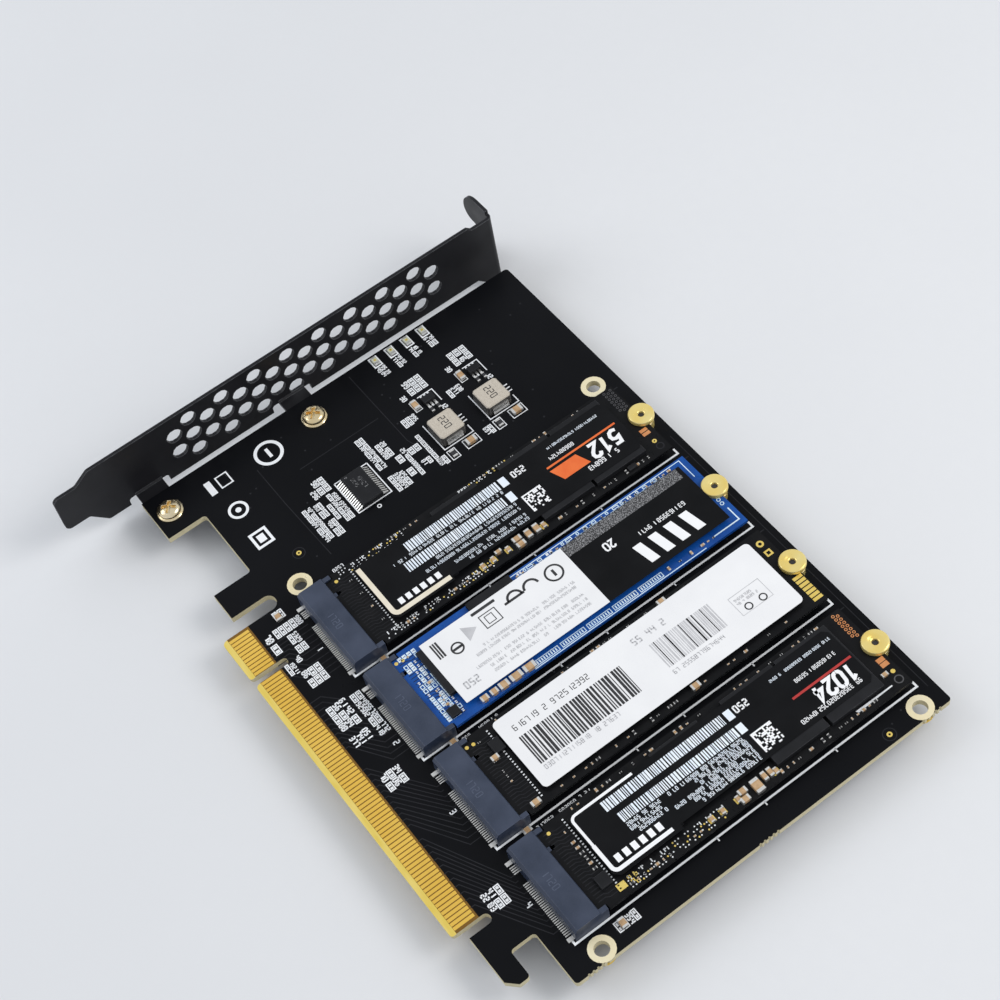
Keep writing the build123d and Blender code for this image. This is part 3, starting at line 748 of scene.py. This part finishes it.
def chip_print():
    """The outline of the clock buffer, its first-pin mark and the small places round it."""
    silk.line([(-31.0, 50.0), (-20.9, 50.0), (-20.9, 41.2), (-31.0, 41.2)], 0.28)
    silk.line([(-31.0, 41.2), (-31.0, 43.6)], 0.28)
    silk.line([(-31.0, 50.0), (-31.0, 47.6)], 0.28)
    silk.ring(-19.5, 45.7, 0.55, 0.3, 14)
    for area in (
        (-29.8, 62.3, -19.2, 63.5),
        (-28.0, 58.9, -25.8, 62.0),
        (-23.3, 59.5, -21.2, 62.0),
        (-29.0, 57.6, -19.8, 58.8),
        (-28.0, 55.6, -25.5, 57.4),
        (-23.5, 55.6, -21.0, 57.4),
        (-33.6, 53.8, -28.6, 56.4),
        (-37.7, 51.0, -27.0, 53.2),
        (-24.5, 51.2, -19.4, 55.2),
        (-34.8, 37.2, -30.2, 40.4),
        (-29.7, 38.0, -20.6, 40.3),
        (-32.6, 35.6, -30.2, 37.0),
        (-27.3, 36.6, -22.4, 37.8),
        (-29.2, 34.2, -24.6, 36.2),
        (-23.6, 34.2, -18.6, 36.4),
        (-29.6, 31.4, -19.2, 33.8),
    ):
        cluster(*area, wide=2.2, high=1.3)


def power_print():
    """Outlines and numbers round the two inductors and their regulators."""
    second_regulator = -12.7
    for shift in (0.0, second_regulator):
        cluster(-44.0, 81.0 + shift, -39.4, 86.0 + shift, 2.3, 1.65)
        silk.line([(-38.3, 81.6 + shift), (-38.3, 85.7 + shift), (-34.2, 85.7 + shift)], 0.24)
        for row in (-0.95, 0.0, 0.95):
            for side in (-1, 1):
                inner, outer = sorted((-36.1 + side * 0.9, -36.1 + side * 2.05))
                pads.at(0, 0, 0).bar(inner, 83.15 + row + shift, outer, 83.65 + row + shift)
        silk.numeral("12", -33.2, 84.6 + shift, 1.1, ACROSS, 0.26)
        silk.numeral("30", -40.9, 78.6 + shift, 1.1, ACROSS, 0.26)
        low, high = 78.1 + shift, 86.0 + shift
        silk.line([(-31.0, low), (-22.2, low), (-22.2, high), (-24.5, high)], 0.26)
        for x in (-28.0, -27.0, -26.0):
            silk.bar(x, 85.6 + shift, x + 0.3, 86.8 + shift)
        silk.box(-21.6, 82.2 + shift, -18.8, 86.1 + shift, 0.2)
        silk.box(-21.5, 77.9 + shift, -18.5, 80.1 + shift, 0.2)
        cluster(-21.3, 75.1 + shift, -18.5, 77.5 + shift, 2.6, 1.2)
        cluster(-35.4, 74.9 + shift, -32.6, 78.6 + shift, 2.6, 1.2)
        silk.box(-38.3, 79.2 + shift, -34.9, 81.0 + shift, 0.18)


def part_numbers():
    """Plain numerals on the inductors and the clock buffer, and a painted shade disc in the recess of
    each drive screw.
    """
    dark_print.at(0, 0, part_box("inductor_bodies")[1][2] / MM)
    for y in (81.6, 68.9):
        dark_print.numeral("220", -28.2, y - 0.75, 1.6, ACROSS, 0.12)
    # painted shade: a dark disc on the recess floor of each drive screw stands for the shade in the hole
    recess_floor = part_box("drive_screws")[1][2] / MM - 0.88
    for bay in BAYS:
        dark_print.at(*drive_end(bay), recess_floor).dot(0, 0, 0.7, 16)
    grain_print.at(0, 0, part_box("clock_buffer")[1][2] / MM)
    grain_print.numeral("10427", -28.3, 45.6, 0.95, ACROSS, 0.12)
    grain_print.numeral("0935", -28.3, 44.2, 0.8, ACROSS, 0.12)
    grain_print.ring(-29.6, 43.7, 0.35, 0.0, 14)


def socket_marks():
    """Faint numerals in the middle of each socket."""
    for bay in BAYS:
        low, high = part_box(f"socket_{bay}")
        middle = (low[0] + high[0]) / 2 / MM
        mark_print.at(0, 0, high[2] / MM).numeral("1720", middle - 2.6, 20.3, 1.5, ACROSS, 0.13)


def small_holes():
    """Tented vias on both faces, and plated rings on the solder side."""
    for _ in range(140):
        x, y = chance.uniform(-52, 92), chance.uniform(18, 104)
        traces.at(0, 0, 0).dot(x, y, 0.24, 8)
        traces.at(0, 0, UNDERSIDE, -1).dot(x, y, 0.24, 8)
    gold_pads.at(0, 0, UNDERSIDE, -1)
    for x in (-14.1, 92.6):
        for y in (21.0, 101.0):
            gold_pads.ring(x, y, 2.85, 1.6, 36)
    for bay in BAYS:
        gold_pads.ring(*drive_end(bay), 2.4, 1.5, 36)


def long_traces():
    traces.at(0, 0, 0)
    for points in (
        [(-39.6, 37.5), (-39.6, 59.0)],
        [(-46.0, 30.0), (-34.0, 30.0), (-16.0, 30.5)],
        [(-54.0, 60.5), (-30.0, 60.5), (-18.0, 64.0)],
        [(8.0, 105.4), (90.0, 105.4)],
    ):
        traces.line(points, 0.18)


def lamp_print():
    """Outlines and numbers of the four status lamps, and the yellow square in each lens."""
    lamps, first, pitch = 4, 0.65, 4.45
    low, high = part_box("status_lamps")
    for row in range(lamps):
        y = low[1] / MM + first + row * pitch
        silk.box(-55.1, y - 1.15, -51.75, y + 1.15, 0.38)
        for rise in (-1.05, 0.15):
            silk.numeral(str(chance.randrange(10, 99)), -51.4, y + rise, 0.9, ACROSS, 0.33)
        gold_pads.at(0, 0, high[2] / MM).bar(-53.7, y - 0.3, -53.1, y + 0.3)
        cluster(-49.8, y - 1.0, -48.0, y + 1.2, 1.8, 1.1)


def plain_marks():
    """Plain shapes where such a card has its printed marks."""
    silk.at(0, 0, 0)
    silk.ring(-48.3, 34.6, 3.5, 2.7, 40)
    silk.bar(-49.7, 34.2, -46.9, 35.0)
    silk.bar(-50.8, 18.4, -46.6, 20.0)
    silk.box(-50.6, 21.2, -46.9, 24.4, 0.35)
    silk.ring(-39.6, 21.0, 2.4, 1.75, 32)
    silk.dot(-39.6, 21.0, 0.7, 16)
    silk.box(-32.2, 18.8, -27.4, 23.2, 0.65)
    silk.bar(-30.9, 20.1, -28.7, 21.9)


def test_points():
    """Two round test points, each with a faint ring round it."""
    gold_pads.at(0, 0, 0)
    traces.at(0, 0, 0)
    for x, y in ((-21.0, 25.2), (93.2, 92.4)):
        gold_pads.ring(x, y, 0.6, 0.25, 20)
        traces.ring(x, y, 1.5, 1.3, 24)


bay_marks()
bus_traces()
edge_side_print()
chip_print()
power_print()
lamp_print()
plain_marks()
test_points()
part_numbers()
socket_marks()
small_holes()
long_traces()


# Print on the labels
def on(sheet, name):
    """Moves a sheet's origin to the lower left corner of a label and returns the sheet."""
    low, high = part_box(name)
    return sheet.at(low[0] / MM, low[1] / MM, high[2] / MM)


def bend(x, y, radius, start):
    """Points of a quarter turn round a centre, from a start in quarter turns."""
    steps = 6
    angles = [math.pi / 2 * (start + step / steps) for step in range(steps + 1)]
    return [(x + radius * math.cos(angle), y + radius * math.sin(angle)) for angle in angles]


def print_drive_1():
    name = "drive_1_label"
    cream = on(cream_print, name)
    cream.line([(0.7, 0.72), *bend(14.1, 1.97, 1.25, 3), (15.35, 15.0)], 1.15)
    pale = on(pale_print, name)
    pale.stripes(1.85, 11.8, 4.4, 36.6, 0.15, 0.5)
    pale.stripes(6.1, 9.0, 8.7, 35.6, 0.15, 0.5)
    pale.bar(1.85, 36.9, 4.4, 38.6)
    pale.bar(6.1, 35.9, 8.7, 37.6)
    pale.small_text(4.75, 6.0, 5.7, 36.0, 0.72, DOWN, weight=0.17)
    pale.small_text(9.1, 6.0, 12.0, 36.4, 0.74, DOWN, gap=0.5, weight=0.16)
    pale.small_text(12.6, 17.0, 15.0, 36.4, 0.74, DOWN, gap=0.5, weight=0.16)
    white = on(light_print, name)
    for step in range(6):
        low = 3.0 + step * 1.9
        white.bar(12.5, low, 14.1, low + 1.2)
    white.numeral("250", 2.2, 43.4, 1.5, DOWN, 0.22)
    code_square(white, 8.8, 38.3, 5.0)
    orange = on(orange_print, name)
    orange.polygon([(7.6, 47.0), (11.4, 48.4), (11.4, 55.4), (7.6, 54.0)])
    orange.bar(6.35, 47.0, 6.85, 65.6)
    white.bold("512", 7.7, 64.6, 3.8, 0.85, 0.12)
    white.small_text(12.2, 50.0, 13.6, 63.6, 1.1, DOWN)
    white.small_text(4.4, 47.4, 5.6, 55.4, 0.9, DOWN)
    pale.small_text(2.0, 47.4, 2.8, 63.8, 0.6, DOWN)


def code_square(sheet, x, y, size, cells=13):
    """A square of random cells inside a solid corner."""
    step = size / cells
    for row in range(cells):
        for column in range(cells):
            if column == 0 or row == 0 or chance.random() < 0.5:
                left, low = x + column * step, y + row * step
                sheet.bar(left, low, left + step * 0.98, low + step * 0.98)


def print_drive_2():
    grey = on(grey_print, "drive_2_white_label")
    grey.small_text(8.2, 1.6, 10.6, 34.0, 0.6, DOWN, gap=1.3)
    grey.small_text(11.8, 3.0, 16.0, 33.6, 0.62, DOWN, gap=1.1)
    dark = on(dark_print, "drive_2_white_label")
    dark.ring(4.0, 32.2, 2.2, 1.75, 28)
    dark.bar(3.1, 31.9, 4.9, 32.5)
    dark.ring(3.6, 26.6, 2.0, 1.45, 24, 0.25, 0.75)
    dark.ring(3.6, 22.4, 2.0, 1.45, 24, 0.25, 0.75)
    dark.bar(3.3, 19.6, 3.9, 24.6)
    dark.bar(0.8, 12.6, 1.5, 18.6)
    dark.box(2.4, 13.4, 6.0, 17.6, 0.22)
    dark.box(3.1, 14.4, 5.3, 16.4, 0.18)
    grey.polygon([(2.0, 9.0), (6.0, 9.0), (4.0, 12.0)])
    dark.ring(5.6, 6.0, 1.5, 1.1, 24)
    dark.bar(5.3, 4.9, 5.9, 7.1)
    dark.stripes(1.4, 1.6, 5.6, 3.8, 0.2, 0.5)
    grey.numeral("250", 13.2, 5.4, 1.6, DOWN, 0.2)
    band = on(grain_print, "drive_2_black_label")
    band.bar(0.1, 0.1, 3.0, 31.0)
    white = on(light_print, "drive_2_black_label")
    for step in range(4):
        y = 11.6 + step * 4.1
        white.polygon([(9.9, y), (15.5, y + 1.0), (15.5, y + 3.2), (9.9, y + 2.2)])
    white.small_text(7.6, 14.0, 8.9, 27.0, 1.0, DOWN)
    white.bold("20", 5.2, 9.6, 2.0, 0.42)


def print_drive_3():
    dark = on(dark_print, "drive_3_label")
    dark.stripes(6.0, 2.6, 13.6, 28.8, 0.16, 0.8, 0.4)
    grey = on(grey_print, "drive_3_label")
    grey.stripes(6.2, 35.6, 13.0, 51.2, 0.14, 0.62, 0.42)
    dark_bars = ((36.6, 0.2), (39.4, 0.3), (43.0, 0.2), (45.2, 0.35), (46.4, 0.25), (48.6, 0.2))
    for first, width in dark_bars:
        dark.bar(6.2, first, 13.0, first + width)
    grey.small_text(13.9, 2.8, 15.2, 28.6, 1.0, UP)
    grey.small_text(13.7, 35.6, 14.9, 51.2, 0.95, UP)
    dark.small_text(2.6, 3.0, 4.4, 27.0, 1.3, UP, weight=0.12)
    grey.small_text(2.4, 33.4, 4.4, 43.0, 1.5, UP)
    grey.box(8.2, 54.6, 13.4, 62.6, 0.14)
    dark.ring(12.4, 60.6, 0.95, 0.65, 20)
    dark.ring(12.2, 57.0, 0.95, 0.65, 20)
    grey.small_text(8.8, 55.4, 10.8, 61.8, 0.6, UP)


def print_drive_4():
    name = "drive_4_label"
    white = on(light_print, name)
    white.line([(0.5, 15.8), *bend(1.7, 1.75, 1.2, 2), (8.0, 0.55)], 0.6)
    white.line([(8.0, 0.55), *bend(13.7, 1.75, 1.2, 3), (14.9, 14.6)], 0.85)
    pale = on(pale_print, name)
    pale.stripes(1.6, 7.0, 4.0, 37.4, 0.15, 0.5)
    pale.stripes(5.5, 8.2, 7.8, 37.4, 0.15, 0.5)
    pale.bar(1.6, 37.7, 4.0, 39.3)
    pale.bar(5.5, 37.7, 7.8, 39.3)
    pale.small_text(8.2, 17.0, 14.6, 37.4, 0.78, DOWN, gap=0.4)
    pale.small_text(8.2, 5.8, 11.6, 16.4, 0.78, DOWN, gap=0.4)
    for step in range(6):
        low = 2.2 + step * 2.0
        white.bar(12.0, low, 13.8, low + 1.25)
    white.numeral("250", 1.9, 43.2, 1.5, DOWN, 0.22)
    code_square(white, 8.8, 38.8, 5.0)
    on(red_print, name).bar(7.85, 50.4, 8.4, 65.5)
    white.bold("1024", 8.9, 64.2, 3.6, 0.8, 0.12)
    white.small_text(12.9, 46.0, 14.0, 63.6, 0.9, DOWN)
    white.small_text(5.0, 49.4, 6.8, 63.6, 0.8, DOWN)
    pale.small_text(1.9, 47.4, 2.7, 65.0, 0.6, DOWN)


print_drive_1()
print_drive_2()
print_drive_3()
print_drive_4()


# Pads, rings and print on the drives' boards
CAPACITOR_ROWS = (30.3, 33.0, 36.9, 46.4)  # along the drives in bays 1 and 4


def to_drive(bay):
    """Moves the sheets of pads, rings and traces to the corner of a drive's board."""
    for sheet in (gold_pads, copper_pads, traces, pads, ring_print, sky_print):
        sheet.at(*drive_corner(bay))


def common_pads(bay):
    """Dots, traces and pads by the socket end of a drive, and the via rings at its far end."""
    if bay in (2, 3):
        gold_pads.dot(2.0, 2.6, 0.42, 12)
    gold_pads.dot(2.2, 4.1, 0.42, 12)
    for row in range(3):
        for column in range(7):
            x, y = 0.8 + column * 0.98 + (row % 2) * 0.49, 77.5 + row * 0.85
            if bay == 4 and row < 2:
                copper_pads.ring(x, y + 0.3, 0.38, 0.2, 12)
            elif bay == 1:
                ring_print.ring(x, y, 0.34, 0.2, 10)
    for run in range(22):
        x = 2.0 + run * 0.84
        traces.line([(x, 2.9), (x, 4.6), (x + 0.5, 5.4), (x + 0.5, 7.6)], 0.16)
    if bay != 2:
        for run in range(26):
            pads.bar(1.4 + run * 0.74, 7.75, 1.7 + run * 0.74, 8.15)


def end_pads_3():
    to_drive(3)
    for place in range(7):
        gold_pads.bar(13.9 + place * 1.06, 77.4, 14.7 + place * 1.06, 79.7)
    gold_pads.ring(3.0, 78.0, 0.85, 0.4, 20)
    gold_pads.box(5.0, 77.2, 6.6, 78.8, 0.4)


def end_pads_1():
    to_drive(1)
    for place in (0, 1):
        copper_pads.bar(13.9 + place * 1.1, 77.0, 14.8 + place * 1.1, 78.9)
    gold_pads.ring(18.2, 78.0, 0.55, 0.2, 16)
    traces.ring(20.0, 78.2, 0.95, 0.7, 18)


def end_pads_4():
    to_drive(4)
    for place in (0, 1):
        copper_pads.bar(13.9 + place * 1.25, 77.4, 15.0 + place * 1.25, 79.2)
    gold_pads.dot(17.9, 78.5, 0.5, 14)
    ring_print.ring(20.0, 78.2, 1.0, 0.75, 18)
    pads.polygon([(20.0, 66.8), (20.6, 67.2), (20.4, 76.2), (20.1, 76.2)])


def blue_board_print():
    """Lines, rings and part places in pale blue on the blue board of drive 2."""
    to_drive(2)
    sky_print.line([(0.5, 26.0), (0.5, 78.6), (6.0, 78.6)], 0.2)
    sky_print.line([(21.75, 24.0), (21.75, 69.0)], 0.2)
    sky_print.line([(16.8, 78.8), (20.6, 78.8), (20.6, 72.0)], 0.3)
    for place in range(4):
        sky_print.ring(11.6 + place * 1.2, 78.6, 0.5, 0.3, 12)
    for first in (24.6, 31.4, 38.2, 45.0, 51.8):
        sky_print.box(20.1, first, 21.45, first + 6.2, 0.18)
        for step in range(9):
            sky_print.bar(20.4, first + 0.5 + step * 0.6, 21.15, first + 0.8 + step * 0.6)
    for edge in (0.7, 1.5):
        spot = 25.0
        while spot < 74.0:
            long = chance.choice((0.7, 1.1, 1.6))
            if chance.random() < 0.7:
                sky_print.box(edge, spot, edge + 0.7, spot + long, 0.19)
            elif chance.random() < 0.6:
                pads.bar(edge, spot, edge + 0.6, spot + long * 0.4)
                pads.bar(edge, spot + long * 0.6, edge + 0.6, spot + long)
            spot += long + chance.choice((0.25, 0.5, 1.2))
    for row in range(4):
        for column in range(16):
            left, low = 1.2 + column * 1.2, 3.2 + row * 1.15
            if chance.random() < 0.75:
                sky_print.box(left, low, left + 1.05, low + 0.9, 0.2)
            if chance.random() < 0.6:
                pads.bar(left + 0.2, low + 0.2, left + 0.45, low + 0.65)
                pads.bar(left + 0.6, low + 0.2, left + 0.85, low + 0.65)


def side_vias():
    """Vias, pads and dashes on the bare strips beside the labels of drives 1 and 4."""
    for bay, columns, first, last in (
        (1, (19.8, 20.5, 21.2), 5.0, 33.0),
        (4, (19.0, 19.8, 20.6, 21.3), 10.0, 34.0),
        (1, (0.6, 1.3, 2.0), 5.0, 22.0),
        (1, (0.6, 1.3), 37.0, 50.0),
    ):
        to_drive(bay)
        spot = first
        while spot < last:
            for column in columns:
                if chance.random() < 0.5:
                    pads.dot(column, spot, 0.17, 8)
                elif chance.random() < 0.3:
                    gold_pads.dot(column, spot + 0.2, 0.2, 8)
            if chance.random() < 0.3:
                pads.bar(columns[0] - 0.2, spot + 0.35, columns[0] + 0.6, spot + 0.6)
            spot += 0.8
    to_drive(4)
    gold_pads.bar(19.0, 7.4, 20.6, 9.4)
    for u, v in ((18.9, 10.2), (19.9, 10.4), (19.2, 11.6), (20.6, 11.2)):
        gold_pads.box(u, v, u + 0.7, v + 0.8, 0.2)
    for bay in (1, 4):
        to_drive(bay)
        for v in CAPACITOR_ROWS:
            gold_pads.bar(19.3, v - 0.75, 20.7, v - 0.25)
            gold_pads.bar(19.3, v + 0.25, 20.7, v + 0.75)


for drive_bay in BAYS:
    to_drive(drive_bay)
    common_pads(drive_bay)
end_pads_3()
end_pads_1()
end_pads_4()
blue_board_print()
side_vias()
for sheet in (
    silk,
    traces,
    pads,
    gold_pads,
    copper_pads,
    pale_print,
    dark_print,
    grey_print,
    grain_print,
    orange_print,
    red_print,
    cream_print,
    light_print,
    sky_print,
    ring_print,
    mark_print,
):
    sheet.put()


# Small parts and screws
class Bricks:
    """Small blocks with chamfered tops, gathered into one mesh."""

    def __init__(self, name, slot, look):
        self.name, self.slot, self.look = name, slot, look
        self.points, self.faces = [], []

    def add(self, x, y, z, size_x, size_y, size_z, chamfer=0.05):
        first = len(self.points)
        for inset, height in ((0, 0), (0, size_z - chamfer), (chamfer, size_z)):
            for sx, sy in ((-1, -1), (1, -1), (1, 1), (-1, 1)):
                corner = (x + sx * (size_x / 2 - inset), y + sy * (size_y / 2 - inset), z + height)
                self.points.append(tuple(value * MM for value in corner))
        for ring in (first, first + 4):
            for side in range(4):
                after = (side + 1) % 4
                self.faces.append((ring + side, ring + after, ring + 4 + after, ring + 4 + side))
        self.faces.append((first + 8, first + 9, first + 10, first + 11))

    put = Sheet.put


brown_parts = Bricks("small_capacitors", "capacitor_ceramic", finishes["capacitor_ceramic"])
dark_parts = Bricks("small_resistors", "resistor_ceramic", finishes["resistor_ceramic"])
chips = Bricks("small_packages", "package_plastic", finishes["package_plastic"])
metal_ends = Bricks("small_part_ends", "tinned_metal", finishes["tinned_metal"])


def chip_part(kind, x, y, z, long, wide, high, upright):
    """A two-terminal part with its metal ends."""
    body = long * 0.56
    end = long * 0.22
    low_body = high * 0.98
    proud_end = wide * 1.04
    if upright:
        kind.add(x, y, z, wide, body, low_body)
        for side in (-1, 1):
            metal_ends.add(x, y + side * (body + end) / 2, z, proud_end, end, high)
    else:
        kind.add(x, y, z, body, wide, low_body)
        for side in (-1, 1):
            metal_ends.add(x + side * (body + end) / 2, y, z, end, proud_end, high)


def strip_of_parts(bay, u0, v0, u1, v1, pitch_u=1.3, pitch_v=1.5, fill=0.6):
    """Small parts in rough rows on a bare strip of a drive's board."""
    x, y, z = drive_corner(bay)
    columns = max(1, int((u1 - u0) / pitch_u))
    rows = max(1, int((v1 - v0) / pitch_v))
    for column in range(columns):
        for row in range(rows):
            if chance.random() > fill:
                continue
            u = u0 + (column + 0.5) * (u1 - u0) / columns
            v = v0 + (row + 0.5) * (v1 - v0) / rows
            size = chance.choice((0.62, 0.62, 1.0))
            kind = brown_parts if chance.random() < 0.55 else dark_parts
            chip_part(kind, x + u, y + v, z, size, size * 0.52, size * 0.42, chance.random() < 0.6)


def parts_on_drives():
    """Small parts on the strips that the labels leave bare, and a few single parts."""
    for bay in (1, 4):
        strip_of_parts(bay, 19.9, 46.5, 21.7, 75.0)
        strip_of_parts(bay, 19.6, 8.0, 21.7, 34.0)
        strip_of_parts(bay, 0.2, 10.0, 1.5, 74.0, fill=0.45)
        strip_of_parts(bay, 2.0, 5.2, 20.0, 8.1, fill=0.5)
    strip_of_parts(2, 0.4, 26.0, 2.2, 76.0, fill=0.5)
    strip_of_parts(2, 19.9, 59.0, 21.6, 74.0, fill=0.6)
    strip_of_parts(2, 1.6, 4.0, 20.0, 6.7, fill=0.55)
    strip_of_parts(3, 0.2, 10.0, 1.3, 50.0, fill=0.5)
    strip_of_parts(3, 20.1, 10.0, 21.8, 72.0, fill=0.55)
    strip_of_parts(3, 2.0, 4.4, 20.0, 6.0, fill=0.5)
    for bay in (1, 4):
        x, y, z = drive_corner(bay)
        for v in CAPACITOR_ROWS:
            chip_part(brown_parts, x + 20.0, y + v, z, 1.5, 0.85, 0.6, False)
    x, y, z = drive_corner(4)
    chip_part(brown_parts, x + 17.6, y + 76.6, z, 1.5, 0.9, 0.6, True)
    for bay, u, v, wide, long, high in (
        (3, 5.6, 7.5, 3.2, 2.6, 0.8),
        (4, 16.8, 6.3, 3.0, 2.8, 0.8),
        (2, 19.0, 5.4, 2.4, 2.4, 0.7),
        (1, 20.6, 70.0, 1.2, 2.2, 0.6),
    ):
        x, y, z = drive_corner(bay)
        chips.add(x + u, y + v, z, wide, long, high, 0.12)


def turned(name, look, centres, profile, recess, rings=6, sides=72):
    """Round pieces turned from a profile, with a cross pressed into the top.

    profile lists radius and height from the rim to the middle, and recess gives the cross's
    half length, half width, depth and turn.
    """
    points, faces = [], []
    reach, half, depth, turn = recess
    end_slope, side_slope, sharp_angle = 0.25, 0.12, 34
    dense = [profile[0]]
    for (r0, z0), (r1, z1) in zip(profile, profile[1:]):
        steps = rings if abs(r1 - r0) > 0.5 else 1
        dense += [(r0 + (r1 - r0) * k / steps, z0 + (z1 - z0) * k / steps) for k in range(1, steps + 1)]
    for cx, cy in centres:
        first = len(points)
        for radius, height in dense:
            for side in range(sides):
                angle = 2 * math.pi * side / sides
                x, y = radius * math.cos(angle), radius * math.sin(angle)
                a = abs(x * math.cos(turn) + y * math.sin(turn))
                b = abs(y * math.cos(turn) - x * math.sin(turn))
                long_side, short_side = max(a, b), min(a, b)
                within_reach = min(1.0, max(0.0, (reach - long_side) / end_slope))
                inside = within_reach * min(1.0, max(0.0, (half - short_side) / side_slope))
                points.append(((cx + x) * MM, (cy + y) * MM, (height - depth * inside) * MM))
        for ring in range(len(dense) - 1):
            for side in range(sides):
                after = (side + 1) % sides
                a, b = first + ring * sides, first + (ring + 1) * sides
                faces.append((a + side, a + after, b + after, b + side))
        faces.append(tuple(first + (len(dense) - 1) * sides + side for side in range(sides)))
    mesh = bpy.data.meshes.new(name)
    mesh.from_pydata(points, [], faces)
    mesh.materials.append(look)
    mesh.shade_smooth()
    mesh.set_sharp_from_angle(angle=math.radians(sharp_angle))
    piece = bpy.data.objects.new(name, mesh)
    bpy.context.scene.collection.objects.link(piece)
    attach(piece, "root")
    return piece


def screws():
    """The drive screws with dished heads, and the bracket screws with domed, crossed heads."""
    low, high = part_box("drive_screws")
    base, top = low[2] / MM, high[2] / MM
    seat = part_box("drive_1_board")[1][2] / MM
    standing = [drive_end(bay) for bay in BAYS]
    rim = [(1.6, base), (1.6, seat), (2.8, seat), (2.95, seat + 0.15)]
    rim += [(2.95, top - 0.35), (2.8, top - 0.12), (2.5, top)]
    dish = [(1.75, top - 0.02), (1.35, top - 0.2), (0.85, top - 0.32)]
    dish += [(0.75, top - 0.42), (0.7, top - 0.9), (0.06, top - 1.0)]
    no_cross = (0.0, 0.0, 0.0, 0.0)
    heads = turned("drive_screw_heads", finishes["brass"], standing, rim + dish, no_cross)
    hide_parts("drive_screws")
    low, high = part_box("bracket_screws")
    middle, crown = (low[0] + high[0]) / 2 / MM, high[2] / MM
    places = [(middle, y) for y in (9.0, 48.0)]
    shank = [(1.45, low[2] / MM), (1.45, 0.0), (3.05, 0.0), (3.05, 0.35)]
    shank += [(2.9, 0.5), (2.64, 0.55), (2.6, 0.95)]
    dome = [(2.4, 1.35), (2.0, 1.68), (1.4, crown - 0.08), (0.8, crown - 0.01), (0.06, crown)]
    cross = (1.65, 0.42, 0.95, 0.9)
    look = finishes["screw_metal"]
    heads = turned("bracket_screw_heads", look, places, shank + dome, cross, 10, 96)
    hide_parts("bracket_screws")


parts_on_drives()
for group in (brown_parts, dark_parts, chips, metal_ends):
    group.put()
screws()
